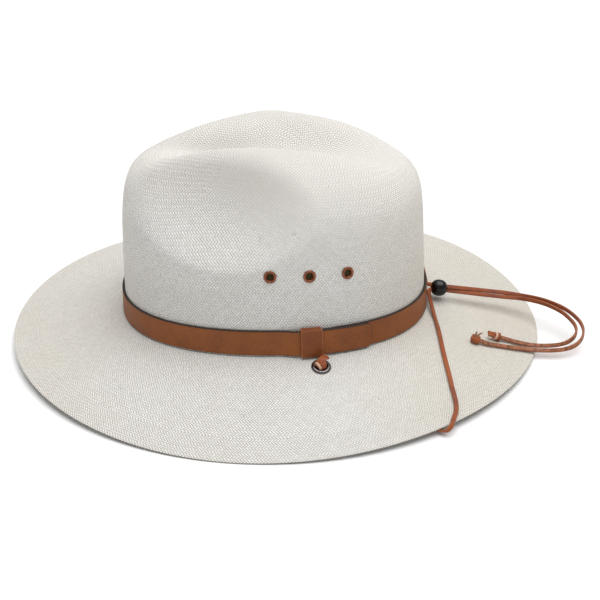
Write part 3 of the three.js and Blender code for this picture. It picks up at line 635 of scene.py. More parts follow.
def drill(target, holes):
    cutters = []
    for k, (r, p, n) in enumerate(holes):
        q = np.array(Vector((0, 0, 1)).rotation_difference(Vector(tuple(n))).to_matrix())
        seg = 36
        pts = [q @ np.array([r * math.cos(TAU * i / seg), r * math.sin(TAU * i / seg), z]) + p for z in (-7, 7) for i in range(seg)]
        faces = grid_faces(2, seg) + [tuple(reversed(range(seg))), tuple(range(seg, 2 * seg))]
        c = make(f"cutter_{k}", pts, outwards(np.array(pts) - p, faces), smooth_faces=False)
        c.hide_render = True
        mod = target.modifiers.new(f"hole_{k}", "BOOLEAN")
        mod.operation = "DIFFERENCE"
        mod.object = c
        try:
            mod.solver = "MANIFOLD"
        except TypeError:
            mod.solver = "EXACT"
        cutters.append(c)
    dg = bpy.context.evaluated_depsgraph_get()
    me = bpy.data.meshes.new_from_object(target.evaluated_get(dg), preserve_all_data_layers=True, depsgraph=dg)
    target.modifiers.clear()
    target.data = me
    for c in cutters:
        bpy.data.objects.remove(c)


straw = straw_mesh()
drill(straw, [(3.3, p, n) for p, n in vents.values()] + [(4.2, p, n) for p, n in grommets.values()])

# ---------------------------------------------------------------- vents
vent_parts = []
for name, (p, n) in vents.items():
    eyelet = lathe(f"eyelet_{name}", [
        (2.3, 0.30), (2.42, 0.58), (2.75, 0.86), (3.1, 0.95), (3.5, 0.86), (3.82, 0.66), (3.99, 0.42), (3.97, 0.2), (3.8, 0.06), (3.2, 0.04),
        (2.98, -0.2), (2.98, -2.7), (3.2, -2.82), (3.62, -2.85), (3.65, -3.0), (3.5, -3.12), (2.6, -3.12), (2.34, -3.0), (2.3, -2.8), (2.3, -0.9)],
        56, p, n)
    q = np.array(Vector((0, 0, 1)).rotation_difference(Vector(tuple(n))).to_matrix())
    turn = 0.6 + 0.37 * len(vent_parts)
    pts, faces = [], []
    pitch, rw, disc = 0.62, 0.145, 2.5
    for fam in (0, 1):
        for i in range(-4, 5):
            o = (i + 0.0) * pitch
            if abs(o) > disc - 0.35:
                continue
            half = math.sqrt(disc ** 2 - o ** 2)
            steps = max(6, int(half * 2 / 0.2))
            base = len(pts)
            for k in range(steps + 1):
                s = -half + 2 * half * k / steps
                z = -0.62 + 0.13 * math.cos(math.pi * s / pitch) * (1 if (i + fam) % 2 else -1)
                c = np.array([s, o, z]) if fam == 0 else np.array([o, s, z])
                side = np.array([0, 1, 0]) if fam == 0 else np.array([1, 0, 0])
                for j in range(6):
                    a = TAU * j / 6
                    v = c + side * rw * math.cos(a) + np.array([0, 0, rw * math.sin(a)])
                    v = np.array([v[0] * math.cos(turn) - v[1] * math.sin(turn), v[0] * math.sin(turn) + v[1] * math.cos(turn), v[2]])
                    pts.append(q @ v + p)
            fs = [tuple(base + i2 for i2 in f) for f in grid_faces(steps + 1, 6)]
            fs += [tuple(base + j for j in range(6)), tuple(base + steps * 6 + j for j in reversed(range(6)))]
            local = {i2: pts[i2] for f in fs for i2 in f}
            vol = 0.0
            for f in fs:
                for t in range(1, len(f) - 1):
                    vol += float(np.dot(local[f[0]] - p, np.cross(local[f[t]] - p, local[f[t + 1]] - p)))
            faces += fs if vol > 0 else [tuple(reversed(f)) for f in fs]
    screen = make(f"screen_{name}", pts, faces)
    washer = lathe(f"washer_{name}", rounded([(3.35, -2.15), (4.1, -2.15), (4.1, -2.5), (3.35, -2.5)], 0.12), 48, p, n)
    vent_parts.append((name, eyelet, screen, washer))

grommet_parts = []
for side, (p, n) in grommets.items():
    ring = lathe(f"grommet_{side}", [
        (3.2, 0.1), (3.28, 0.55), (3.55, 1.0), (4.0, 1.3), (4.5, 1.42), (5.0, 1.38), (5.5, 1.18), (5.9, 0.85), (6.2, 0.48), (6.3, 0.22), (6.2, 0.06), (5.6, 0.03), (4.1, 0.02),
        (3.9, -0.2), (3.9, -2.4), (4.1, -2.5), (4.65, -2.52), (4.72, -2.68), (4.6, -2.85), (3.5, -2.86), (3.24, -2.75), (3.2, -2.5)],
        72, p, n)
    washer = lathe(f"grommet_back_{side}", rounded([(4.25, -1.75), (6.2, -1.75), (6.2, -2.2), (4.25, -2.2)], 0.15), 60, p, n)
    grommet_parts.append((side, ring, washer))

# ---------------------------------------------------------------- hatband
phi_of_y = lambda y: math.acos(-y / CROWN_A)
PHI_UNDER, PHI_KEEPER, PHI_TONGUE = phi_of_y(UNDER_Y), phi_of_y(KEEPER_Y), phi_of_y(TONGUE_Y)
bump = lambda d, flat, ramp: 1 - smooth((np.abs(d) - flat) / ramp)
keeper_lift = lambda phi: (KEEPER_T + LAYER_GAP) * bump((phi - PHI_KEEPER) * 118, KEEPER_W / 2 + 3, 14)


def strap_mesh():
    start, end, tongue = PHI_UNDER, TAU + PHI_TONGUE, 0.034
    stops = list(np.linspace(start, end - tongue, 620))[:-1]
    stops += [end - tongue * (1 - math.sin(t * math.pi / 2)) for t in np.linspace(0, 1, 26)]
    pts, edge, uv_v, uv_u = [], [], [], []
    # the section, going round: (share of height, share of thickness, is painted edge)
    sec = []
    r = 0.36
    for k in range(9):
        sec.append((r / BAND_H + (1 - 2 * r / BAND_H) * k / 8, 0.0, 0))  # inner face, upwards
    for a in (30, 60, 90):
        t = math.radians(a)
        sec.append((1 - r / BAND_H * (1 - math.sin(t)), (r * (1 - math.cos(t))) / BAND_T, 1))
    for a in (0, 30, 60, 90):
        t = math.radians(a)
        sec.append((1 - r / BAND_H * (1 - math.cos(t)), 1 - (r * (1 - math.sin(t))) / BAND_T, 1 if a < 75 else 0.6))
    for k in range(1, 13):
        sec.append((1 - r / BAND_H - (1 - 2 * r / BAND_H) * k / 13, 1.0, 0))
    for a in (0, 30, 60, 90):
        t = math.radians(a)
        sec.append((r / BAND_H * (1 - math.sin(t)), 1 - (r * (1 - math.cos(t))) / BAND_T, 0.3 if a < 15 else 0.48))
    for a in (0, 30, 60):
        t = math.radians(a)
        sec.append((r / BAND_H * (1 - math.cos(t)), (r * (1 - math.sin(t))) / BAND_T, 0.6))
    run = 0.0
    prev = None
    for phi in stops:
        over = float(smooth((phi - (TAU + PHI_UNDER - 0.16)) / 0.13))
        t = max(0.0, (phi - (end - tongue)) / tongue)
        shrink = (BAND_H / 2 - 1.2) * (1 - math.sqrt(max(0.0, 1 - t * t)))
        lift = BAND_GAP + float(keeper_lift(phi)) + over * (BAND_T + LAYER_GAP)
        if phi < TAU and float(keeper_lift(phi)) == 0:
            pass
        h0, h1 = 0.1 + shrink, BAND_H - 0.1 - shrink
        n = plan(phi)
        hs = np.array([h0 + (h1 - h0) * s[0] for s in sec])
        P = wall(phi, hs) + n * (lift + BAND_T * np.array([s[1] for s in sec]))[:, None]
        mid = P[len(sec) // 2]
        if prev is not None:
            run += float(np.linalg.norm(mid - prev))
        prev = mid
        near_tip = 0.55 if (end - phi) * 118 < 0.55 else 0.0
        for k, s in enumerate(sec):
            pts.append(P[k])
            edge.append(max(s[2], near_tip, smooth((t - 0.9) / 0.1) * 0.0))
            uv_u.append(run)
            uv_v.append(hs[k])
    k = len(sec)
    faces = grid_faces(len(stops), k)
    faces += [tuple(range(k)), tuple((len(stops) - 1) * k + i for i in reversed(range(k)))]
    faces = outwards(pts, faces)
    uv = [(uv_u[i] / 1000, uv_v[i] / 1000) for f in faces for i in f]
    return make("band_strap", pts, faces, uv=uv, floats={"edge": edge, "flesh": [0.0] * len(pts)})


def keeper_mesh():
    half = KEEPER_W / 2 / 118
    a0 = BAND_GAP
    a1 = a0 + KEEPER_T
    b0 = a0 + KEEPER_T + 2 * BAND_T + 3 * LAYER_GAP
    b1 = b0 + KEEPER_T
    out = rounded([(a0, -0.45), (b1, -0.45), (b1, BAND_H + 0.85), (a0, BAND_H + 0.85)], 0.6, 5)
    inn = rounded([(a1, -0.05), (b0, -0.05), (b0, BAND_H + 0.2), (a1, BAND_H + 0.2)], 0.3, 5)

    def densify(loop):
        res = []
        for i, p in enumerate(loop):
            q = loop[(i + 1) % len(loop)]
            n = max(1, int(np.linalg.norm(q - p) / 1.6))
            res += [p + (q - p) * j / n for j in range(n)]
        return res

    out = densify(out)
    # the inner loop has the same number of points, each nearest in turn
    m = len(out)
    inn_d = densify(inn)
    L = np.array(inn_d + [inn_d[0]])
    run = np.concatenate([[0], np.cumsum(np.linalg.norm(np.diff(L, axis=0), axis=1))])
    O = np.array(out + [out[0]])
    ro = np.concatenate([[0], np.cumsum(np.linalg.norm(np.diff(O, axis=0), axis=1))])
    share = ro[:-1] / ro[-1]
    inn_e = np.stack([np.interp(share * run[-1], run, L[:, 0]), np.interp(share * run[-1], run, L[:, 1])], 1)

    def at(phi, lift, h):
        n = plan(phi)
        p = wall(phi, min(max(h, 0), BAND_H)) + n * lift
        p[2] += h if h < 0 else max(0, h - BAND_H)
        return p

    pts, edge = [], []
    us = [(-1, 0.14), (-0.985, 0.05), (-0.94, 0)] + [(v, 0) for v in np.linspace(-0.85, 0.85, 9)] + [(0.94, 0), (0.985, 0.05), (1, 0.14)]
    # rows of the outside, then of the inside backwards, so that the loop's two cut edges are closed
    for u, inset in us:
        phi = PHI_KEEPER + half * u
        for p in out:
            c = np.array([(a0 + b1) / 2, BAND_H / 2])
            q = p - unit(p - c) * inset
            pts.append(at(phi, q[0], q[1]))
            edge.append(1.0 if abs(u) > 0.95 else 0.0)
    for u, inset in reversed(us):
        phi = PHI_KEEPER + half * u
        for p in inn_e:
            pts.append(at(phi, p[0], p[1]))
            edge.append(1.0 if abs(u) > 0.95 else 0.0)
    faces = outwards(pts, grid_faces(2 * len(us), m, close_rows=True))
    uv = [(edge[i] * 0 + (i // m) * 0.001, (i % m) * 0.0016) for f in faces for i in f]
    return make("band_keeper", pts, faces, uv=uv, floats={"edge": edge, "flesh": [0.0] * len(pts)})


strap, keeper = strap_mesh(), keeper_mesh()

# ---------------------------------------------------------------- sweatband, its stitches and its reed
def sweat_mesh():
    seg, gap = 300, STRAW + 0.55
    phis = np.arange(seg) * TAU / seg
    hs = np.linspace(-0.2, SWEAT_H, 15)
    pts, uvp = [], []
    for phi in phis:
        n = plan(phi)
        a, b = gap + 0.06, gap + SWEAT_T - 0.06
        rows = [(a, h) for h in hs] + [(b, h) for h in hs[::-1]]
        rows[0] = (a + 0.12, hs[0]); rows[14] = (a + 0.12, hs[-1]); rows[15] = (b - 0.12, hs[-1]); rows[-1] = (b - 0.12, hs[0])
        for d, h in rows:
            p = wall(phi, max(h, 0.0)) - n * d
            p[2] = float(base_z(phi)) + h
            pts.append(p)
            uvp.append((phi * 0.094, h / 1000))
    k = 30
    faces = outwards(pts, grid_faces(seg, k, close_rows=True))
    uv = []
    for f in faces:
        us = [uvp[i][0] for i in f]
        wrap = max(us) - min(us) > 0.3
        for i in f:
            u = uvp[i][0]
            uv.append((u + TAU * 0.094 if wrap and u < 0.3 else u, uvp[i][1]))
    return make("sweatband_cloth", pts, faces, uv=uv)


def stitches(name, count, place, length, r):
    """A row of thread stitches: place(share) gives a point, its direction and the way out of the cloth."""
    pts, faces = [], []
    for s in range(count):
        p, t, n = place((s + 0.5) / count)
        b = np.cross(t, n)
        base = len(pts)
        for k in range(7):
            u = k / 6 - 0.5
            lift = r * (1.1 - 5.2 * u * u)
            w = r * (1 - (2 * u) ** 6 * 0.6)
            for j in range(6):
                a = TAU * j / 6
                pts.append(p + t * u * length + n * (lift + w * 0.7 * math.sin(a)) + b * w * math.cos(a))
        fs = [tuple(base + i for i in f) for f in grid_faces(7, 6)] + [tuple(base + j for j in range(6)), tuple(base + 36 + j for j in reversed(range(6)))]
        vol = sum(float(np.dot(pts[f[0]] - p, np.cross(pts[f[t2]] - p, pts[f[t2 + 1]] - p))) for f in fs for t2 in range(1, len(f) - 1))
        faces += fs if vol > 0 else [tuple(reversed(f)) for f in fs]
    return make(name, pts, faces)


def sweat_stitch(h, inward):
    def place(share):
        phi = share * TAU
        n = plan(phi)
        p = wall(phi, h) - n * (STRAW + 0.55 + SWEAT_T - 0.1)
        t = unit(wall(phi + 0.005, h) - wall(phi - 0.005, h))
        return p, t, -n
    return place


sweat = sweat_mesh()
sweat_threads = [stitches("sweatband_stitches_upper", 176, sweat_stitch(SWEAT_H - 2.2, True), 2.5, 0.22),
                 stitches("sweatband_stitches_lower", 176, sweat_stitch(2.2, True), 2.5, 0.22)]


def reed_mesh():
    seg, sides = 300, 12
    pts = []
    for i in range(seg):
        phi = TAU * i / seg
        n = plan(phi)
        p = wall(phi, 0.0) - n * (STRAW + 0.55 + 1.1)
        p[2] -= 1.5
        for k in range(sides):
            a = TAU * k / sides
            pts.append(p + n * REED_R * math.cos(a) + np.array([0, 0, REED_R * math.sin(a)]))
    faces = outwards(pts, grid_faces(seg, sides, close_rows=True))
    uv = []
    for f in faces:
        wrap = max(i // sides for i in f) - min(i // sides for i in f) > 5
        for i in f:
            j = i // sides + (seg if wrap and i // sides < 5 else 0)
            uv.append((j * 0.00197, (i % sides) * 0.0004))
    return make("sweatband_cord", pts, faces, uv=uv)


reed = reed_mesh()


# ---------------------------------------------------------------- materials
class Mat:
    """A Principled material built from small node expressions."""

    def __init__(self, name, **sockets):
        self.m = bpy.data.materials.new(name)
        self.m.use_nodes = True
        self.t = self.m.node_tree
        self.t.nodes.clear()
        self.out = self.t.nodes.new("ShaderNodeOutputMaterial")
        self.b = self.t.nodes.new("ShaderNodeBsdfPrincipled")
        self.t.links.new(self.b.outputs[0], self.out.inputs[0])
        for k, v in sockets.items():
            self.b.inputs[k.replace("_", " ")].default_value = v

    def put(self, socket, v):
        if isinstance(v, bpy.types.NodeSocket):
            self.t.links.new(v, socket)
        else:
            socket.default_value = v

    def math(self, op, a, b=None, c=None):
        n = self.t.nodes.new("ShaderNodeMath")
        n.operation = op
        for i, v in enumerate((a, b, c)):
            if v is not None:
                self.put(n.inputs[i], v)
        return n.outputs[0]

    def attr(self, name):
        n = self.t.nodes.new("ShaderNodeAttribute")
        n.attribute_name = name
        return n.outputs["Fac"]

    def uv(self):
        n = self.t.nodes.new("ShaderNodeUVMap")
        n.uv_map = "weave"
        s = self.t.nodes.new("ShaderNodeSeparateXYZ")
        self.t.links.new(n.outputs[0], s.inputs[0])
        return s.outputs[0], s.outputs[1]

    def xyz(self, a, b, c=0.0):
        n = self.t.nodes.new("ShaderNodeCombineXYZ")
        for i, v in enumerate((a, b, c)):
            self.put(n.inputs[i], v)
        return n.outputs[0]

    def place(self):
        return self.t.nodes.new("ShaderNodeTexCoord").outputs["Object"]

    def normal(self):
        n = self.t.nodes.new("ShaderNodeNewGeometry")
        s = self.t.nodes.new("ShaderNodeSeparateXYZ")
        self.t.links.new(n.outputs["Normal"], s.inputs[0])
        return s.outputs[0], s.outputs[1], s.outputs[2]

    def noise(self, scale, detail=3.0, rough=0.5, vector=None, distortion=0.0):
        n = self.t.nodes.new("ShaderNodeTexNoise")
        n.inputs["Scale"].default_value = scale
        n.inputs["Detail"].default_value = detail
        n.inputs["Roughness"].default_value = rough
        n.inputs["Distortion"].default_value = distortion
        self.put(n.inputs["Vector"], vector if vector is not None else self.place())
        return n.outputs["Fac"]

    def voronoi(self, scale, vector=None, feature="F1", output="Distance"):
        n = self.t.nodes.new("ShaderNodeTexVoronoi")
        n.feature = feature
        n.inputs["Scale"].default_value = scale
        self.put(n.inputs["Vector"], vector if vector is not None else self.place())
        return n.outputs[output]

    def white(self, vector):
        n = self.t.nodes.new("ShaderNodeTexWhiteNoise")
        n.noise_dimensions = "3D"
        self.put(n.inputs["Vector"], vector)
        return n.outputs["Value"]

    def band(self, v, a, b, lo=0.0, hi=1.0):
        n = self.t.nodes.new("ShaderNodeMapRange")
        n.interpolation_type = "SMOOTHSTEP"
        for k, x in (("Value", v), ("From Min", a), ("From Max", b), ("To Min", lo), ("To Max", hi)):
            self.put(n.inputs[k], x)
        return n.outputs[0]

    def mix(self, f, a, b, blend="MIX"):
        n = self.t.nodes.new("ShaderNodeMix")
        n.data_type = "RGBA"
        n.blend_type = blend
        self.put(n.inputs["Factor"], f)
        for k, v in (("A", a), ("B", b)):
            s = [x for x in n.inputs if x.name == k and x.type == "RGBA"][0]
            self.put(s, v if isinstance(v, bpy.types.NodeSocket) else (*v[:3], 1.0))
        return [x for x in n.outputs if x.type == "RGBA"][0]

    def bump(self, height, distance, strength=1.0, under=None):
        n = self.t.nodes.new("ShaderNodeBump")
        n.inputs["Strength"].default_value = strength
        n.inputs["Distance"].default_value = distance
        self.put(n.inputs["Height"], height)
        if under is not None:
            self.t.links.new(under, n.inputs["Normal"])
        return n.outputs[0]

    def set(self, **kw):
        for k, v in kw.items():
            self.put(self.b.inputs[k.replace("_", " ")], v)
        return self


def srgb(r, g, b):
    f = lambda c: (c / 255 / 12.92) if c / 255 <= 0.04045 else ((c / 255 + 0.055) / 1.055) ** 2.4
    return (f(r), f(g), f(b))


STRAW_DARK, STRAW_LIGHT, STRAW_FIBRE, STRAW_WARM, STRAW_SHADE = srgb(224, 222, 217), srgb(240, 239, 236), srgb(205, 200, 190), srgb(219, 209, 189), srgb(172, 167, 158)
STRAW_GAP = 0.54


def straw_material():
    m = Mat("straw", Specular_IOR_Level=0.35)
    M = m.math
    u, v = m.uv()
    w = 1.9
    rad = M("MAXIMUM", m.attr("ring_radius"), 6.0)
    zone = M("FLOOR", M("DIVIDE", M("LOGARITHM", M("DIVIDE", rad, 10.0), math.e), math.log(1.14)))
    rk = M("MULTIPLY", M("POWER", 1.14, M("ADD", zone, 0.5)), 10.0)
    nk = M("MULTIPLY", M("ROUND", M("MULTIPLY", rk, TAU / (4 * w)), 0.0), 4.0)
    a, b = M("MULTIPLY", u, nk), M("DIVIDE", v, w)
    # small wander of the strands
    wob = M("MULTIPLY", M("SUBTRACT", m.noise(45.0, 1.0), 0.5), 0.5)
    b = M("ADD", b, wob)
    p, q = M("ADD", a, b), M("SUBTRACT", a, b)
    fp, fq = M("FLOOR", p), M("FLOOR", q)
    rp, rq = M("SUBTRACT", p, fp), M("SUBTRACT", q, fq)
    d = M("SUBTRACT", fp, fq)
    c = M("FLOORED_MODULO", d, 4.0)
    first = M("LESS_THAN", c, 1.5)  # strands of the first family on top
    # across the strand on top, and along its float of two cells
    across = M("ADD", M("MULTIPLY", first, rp), M("MULTIPLY", M("SUBTRACT", 1.0, first), rq))
    s1 = M("ADD", M("SUBTRACT", 1.0, c), rq)
    s2 = M("ADD", M("SUBTRACT", c, 2.0), rp)
    along = M("MULTIPLY", M("ADD", M("MULTIPLY", first, s1), M("MULTIPLY", M("SUBTRACT", 1.0, first), s2)), 0.5)
    hump = M("SUBTRACT", 1.0, M("POWER", M("ABSOLUTE", M("SUBTRACT", M("MULTIPLY", across, 2.0), 1.0)), 2.4))
    arch = M("SUBTRACT", 1.0, M("POWER", M("ABSOLUTE", M("SUBTRACT", M("MULTIPLY", along, 2.0), 1.0)), 3.0))
    height = M("MULTIPLY", hump, M("ADD", 0.45, M("MULTIPLY", arch, 0.55)))
    # the strands lie flat and close where the weave starts, at the middle of the crown
    start = m.band(m.attr("ring_radius"), 1.0, 9.0, 0.0, 1.0)
    height = M("ADD", M("MULTIPLY", height, start), M("MULTIPLY", M("SUBTRACT", 1.0, start), 0.6))
    ident = m.xyz(M("ADD", M("MULTIPLY", first, fp), M("MULTIPLY", M("SUBTRACT", 1.0, first), fq)), M("FLOOR", M("DIVIDE", d, 4.0)), first)
    rnd = m.white(ident)
    strand = m.white(m.xyz(M("ADD", M("MULTIPLY", first, fp), M("MULTIPLY", M("SUBTRACT", 1.0, first), fq)), zone, M("ADD", first, 7.0)))
    # fibres along each strand
    fibre = m.noise(1.0, 2.0, 0.6, m.xyz(M("MULTIPLY", across, 5.0), M("MULTIPLY", along, 1.2), M("MULTIPLY", rnd, 40.0)))
    tone = M("ADD", M("MULTIPLY", rnd, 0.5), M("MULTIPLY", strand, 0.5))
    col = m.mix(tone, STRAW_DARK, STRAW_LIGHT)
    col = m.mix(M("MULTIPLY", m.band(fibre, 0.45, 0.75), 0.28), col, STRAW_FIBRE)
    # large soft warm patches, warmer towards the front and the back, and the crown's top painted lighter as a painted
    # highlight of the light from above
    spot = m.t.nodes.new("ShaderNodeSeparateXYZ")
    m.t.links.new(m.place(), spot.inputs[0])
    ends = M("ADD", m.band(spot.outputs[1], 0.02, 0.17, 0.0, 0.7), m.band(spot.outputs[1], -0.06, -0.18, 0.0, 0.5))
    col = m.mix(M("ADD", m.band(m.noise(9.0, 3.0), 0.35, 0.7, 0.0, 0.14), M("MULTIPLY", ends, 0.66)), col, STRAW_WARM)
    # painted highlight: the crown's top is lightened towards white
    col = m.mix(m.band(spot.outputs[2], 0.09, 0.13, 0.0, 0.8), col, srgb(248, 244, 237))
    # the gaps between strands are in shade
    gap = M("SUBTRACT", 1.0, m.band(height, 0.0, 0.55))
    col = m.mix(M("MULTIPLY", gap, STRAW_GAP), col, STRAW_SHADE)
    # a few dark flecks in the straw
    fleck = M("MULTIPLY", m.band(rnd, 0.9975, 0.9985), m.band(m.noise(900.0, 2.0), 0.56, 0.66))
    col = m.mix(M("MULTIPLY", fleck, 0.6), col, srgb(128, 104, 76))
    # the brim's edge is painted a little darker, painted shade on the straw's edge face
    col = m.mix(M("MULTIPLY", m.attr("rim"), 0.8), col, srgb(138, 130, 118))
    normal = m.bump(height, 0.00062, 0.9)
    normal = m.bump(m.noise(160.0, 3.0), 0.0002, 0.25, normal)
    m.set(Base_Color=col, Roughness=m.band(rnd, 0.0, 1.0, 0.55, 0.75), Normal=normal)
    return m.m



def leather(name, dark, light, grain=900.0, edge_color=None, edge_share=1.0, flesh_color=None, rough=(0.42, 0.6), spec=0.45, pale=None):
    m = Mat(name, Specular_IOR_Level=spec)
    M = m.math
    cell = m.voronoi(grain)
    fine = m.noise(2600.0, 3.0, 0.6)
    cloud = m.noise(70.0, 4.0, 0.6)
    wide = m.noise(22.0, 2.0)
    tone = M("ADD", M("MULTIPLY", cloud, 0.6), M("MULTIPLY", wide, 0.4))
    col = m.mix(m.band(tone, 0.32, 0.68), dark, light)
    col = m.mix(M("MULTIPLY", m.band(cell, 0.35, 0.8), 0.22), col, tuple(c * 0.5 for c in dark))
    col = m.mix(M("MULTIPLY", m.band(fine, 0.5, 0.75), 0.15), col, tuple(min(1, c * 1.5) for c in light))
    edge = m.attr("edge")
    if flesh_color is not None:
        rough_side = m.mix(m.band(m.noise(420.0, 4.0, 0.7), 0.36, 0.64), tuple(c * 0.55 for c in flesh_color), tuple(min(1, c * 1.45) for c in flesh_color))
        col = m.mix(M("MULTIPLY", m.attr("flesh"), m.band(fine, 0.2, 0.7, 0.75, 1.0)), col, rough_side)
    if edge_color is not None:
        col = m.mix(M("MULTIPLY", m.band(edge, 0.2, 0.8), edge_share), col, edge_color)
    if pale is not None:
        col = m.mix(m.attr("pale"), col, pale)
    height = M("ADD", M("MULTIPLY", cell, -0.6), M("MULTIPLY", fine, 0.35))
    normal = m.bump(height, 0.00012, 0.7)
    normal = m.bump(cloud, 0.0006, 0.25, normal)
    m.set(Base_Color=col, Roughness=m.band(cloud, 0.3, 0.7, *rough), Normal=normal)
    return m.m


def metal(name, color, rough, wear, metallic=1.0, coat=0.0, scale=500.0):
    m = Mat(name, Metallic=metallic, Coat_Weight=coat, Coat_Roughness=0.08)
    n = m.noise(scale, 4.0, 0.65)
    n2 = m.noise(120.0, 2.0)
    col = m.mix(m.math("MULTIPLY", m.band(n, 0.5, 0.75), 0.6), color, wear)
    m.set(Base_Color=col, Roughness=m.band(n2, 0.3, 0.7, rough * 0.75, rough * 1.3), Normal=m.bump(n, 0.00003, 0.5))
    return m.m


def cloth(name, dark, light, w=0.45):
    """A cotton twill whose threads are w mm apart, from uv in metres."""
    m = Mat(name, Specular_IOR_Level=0.2, Sheen_Weight=0.25, Sheen_Roughness=0.5)
    M = m.math
    u, v = m.uv()
    a, b = M("DIVIDE", M("MULTIPLY", u, 1000.0), w), M("DIVIDE", M("MULTIPLY", v, 1000.0), w)
    fa, fb = M("FLOOR", a), M("FLOOR", b)
    over = M("LESS_THAN", M("FLOORED_MODULO", M("ADD", fa, fb), 3.0), 1.5)
    ra, rb = M("SUBTRACT", a, fa), M("SUBTRACT", b, fb)
    t = M("ADD", M("MULTIPLY", over, ra), M("MULTIPLY", M("SUBTRACT", 1.0, over), rb))
    h = M("SUBTRACT", 1.0, M("POWER", M("ABSOLUTE", M("SUBTRACT", M("MULTIPLY", t, 2.0), 1.0)), 2.0))
    rnd = m.white(m.xyz(fa, fb, 1.0))
    col = m.mix(M("ADD", M("MULTIPLY", rnd, 0.5), M("MULTIPLY", m.noise(60.0), 0.5)), dark, light)
    # painted shade: the valleys between the threads are darkened
    col = m.mix(M("MULTIPLY", M("SUBTRACT", 1.0, h), 0.35), col, tuple(c * 0.45 for c in dark))
    m.set(Base_Color=col, Roughness=m.band(rnd, 0.0, 1.0, 0.75, 0.95), Normal=m.bump(h, 0.00015, 0.8))
    return m.m


straw_mat = straw_material()
band_mat = leather("band_leather", srgb(122, 66, 26), srgb(147, 84, 37), edge_color=srgb(34, 28, 26), edge_share=0.95, spec=0.3)
keeper_mat = leather("keeper_leather", srgb(112, 58, 26), srgb(136, 74, 34), edge_color=srgb(184, 116, 74), edge_share=0.8, spec=0.3)
lace_mat = leather("lace_leather", srgb(118, 56, 30), srgb(168, 90, 47), grain=1500.0, edge_color=srgb(156, 100, 72), edge_share=0.45, flesh_color=srgb(140, 88, 60), spec=0.3, pale=srgb(214, 180, 158))
eyelet_mat = metal("eyelet_enamel", srgb(128, 66, 34), 0.3, srgb(160, 92, 52), metallic=0.5, coat=0.4)
screen_mat = metal("screen_brass", srgb(104, 92, 62), 0.42, srgb(150, 136, 96), scale=1500.0)
nickel_mat = metal("black_nickel", srgb(112, 106, 106), 0.2, srgb(150, 144, 142), scale=900.0)
sweat_mat = cloth("sweatband_cotton", srgb(138, 114, 84), srgb(170, 146, 112))
reed_mat = cloth("reed_tape", srgb(74, 54, 40), srgb(98, 74, 56), 0.35)
thread_mat = Mat("thread", Sheen_Weight=0.2, Specular_IOR_Level=0.25)
_n = thread_mat.noise(3000.0, 2.0)
thread_mat.set(Base_Color=thread_mat.mix(_n, srgb(150, 128, 96), srgb(196, 176, 142)), Roughness=0.8, Normal=thread_mat.bump(_n, 0.00005, 0.6))
thread_mat = thread_mat.m
bead_mat = Mat("black_bead", Coat_Weight=0.15, Coat_Roughness=0.05, Specular_IOR_Level=0.3)
_n = bead_mat.noise(420.0, 5.0, 0.7)
_g = bead_mat.noise(90.0, 2.0)
bead_mat.set(Base_Color=bead_mat.mix(bead_mat.band(_n, 0.45, 0.7), srgb(5, 5, 5), srgb(16, 13, 12)),
             Roughness=bead_mat.band(_g, 0.3, 0.7, 0.12, 0.24), Normal=bead_mat.bump(_n, 0.00004, 0.35))
bead_mat = bead_mat.m


def finish_piece(o, body, mat, replaces=()):
    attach(o, body)
    o.data.materials.clear()
    o.data.materials.append(mat)
    if replaces:
        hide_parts(*replaces)


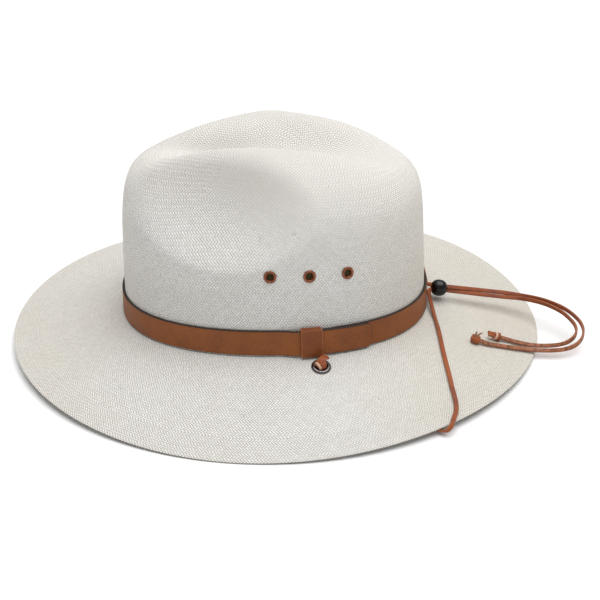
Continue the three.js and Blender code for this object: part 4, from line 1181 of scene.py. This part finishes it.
finish_piece(straw, "hat", straw_mat, ["straw_body"])
finish_piece(strap, "hat", band_mat, ["hatband_strap"])
finish_piece(keeper, "hat", keeper_mat, ["hatband_keeper"])
finish_piece(sweat, "hat", sweat_mat, ["sweatband"])
finish_piece(reed, "hat", reed_mat, ["sweatband_reed"])
for t in sweat_threads:
    finish_piece(t, "hat", thread_mat)
for name, eyelet, screen, washer in vent_parts:
    finish_piece(eyelet, "hat", eyelet_mat, [f"vent_eyelet_{name}"])
    finish_piece(screen, "hat", screen_mat, [f"vent_mesh_{name}"])
    finish_piece(washer, "hat", eyelet_mat, [f"vent_washer_{name}"])
for side, ring, washer in grommet_parts:
    finish_piece(ring, "hat", nickel_mat, [f"brim_grommet_{side}"])
    finish_piece(washer, "hat", nickel_mat, [f"grommet_washer_{side}"])
finish_piece(bead, "bead", bead_mat, ["cord_bead"])
for side, _ in SIDES:
    finish_piece(laces[side], "hat", lace_mat, [f"chin_cord_{side}"])
    finish_piece(knots[f"brim_knot_{side}"], "hat", lace_mat, [f"brim_knot_{side}"])
    finish_piece(knots[f"tail_knot_{side}"], "hat", lace_mat, [f"tail_knot_{side}"])
    line, length, _, _ = lace_ends[side]
    tuple(metres(line[0])[0])
    [tuple(p) for p in metres(line)]

# ---------------------------------------------------------------- floor and light
me = bpy.data.meshes.new("floor")
g = np.linspace(-9, 9, 13)
me.from_pydata([(float(x), float(y), 0.0) for y in g for x in g], [], [(j * 13 + i, j * 13 + i + 1, (j + 1) * 13 + i + 1, (j + 1) * 13 + i) for j in range(12) for i in range(12)])
floor = bpy.data.objects.new("floor", me)
scene.collection.objects.link(floor)
floor_mat = Mat("floor_paper", Specular_IOR_Level=0.1)
floor_mat.set(Base_Color=floor_mat.mix(floor_mat.noise(3.0), (0.93, 0.93, 0.93), (0.95, 0.95, 0.95)), Roughness=0.9)
me.materials.append(floor_mat.m)

world = bpy.data.worlds.new("studio")
scene.world = world
world.use_nodes = True
world.node_tree.nodes["Background"].inputs[0].default_value = (1, 1, 1, 1)
world.node_tree.nodes["Background"].inputs[1].default_value = 0.45


def sun(name, azimuth, elevation, soft, strength, color=(1, 1, 1)):
    """A very soft light from a direction, in degrees: azimuth 0 is over the wearer's left, 90 over the back of the hat."""
    d = bpy.data.lights.new(name, "SUN")
    d.angle = math.radians(soft)
    d.energy = strength
    d.color = color
    o = bpy.data.objects.new(name, d)
    scene.collection.objects.link(o)
    a, e = math.radians(azimuth), math.radians(elevation)
    o.rotation_euler = Vector((math.cos(a) * math.cos(e), math.sin(a) * math.cos(e), math.sin(e))).to_track_quat("Z", "Y").to_euler()
    return o


sun("overhead", 112, 80, 62, 2.5)
scene.view_settings.view_transform = "Standard"
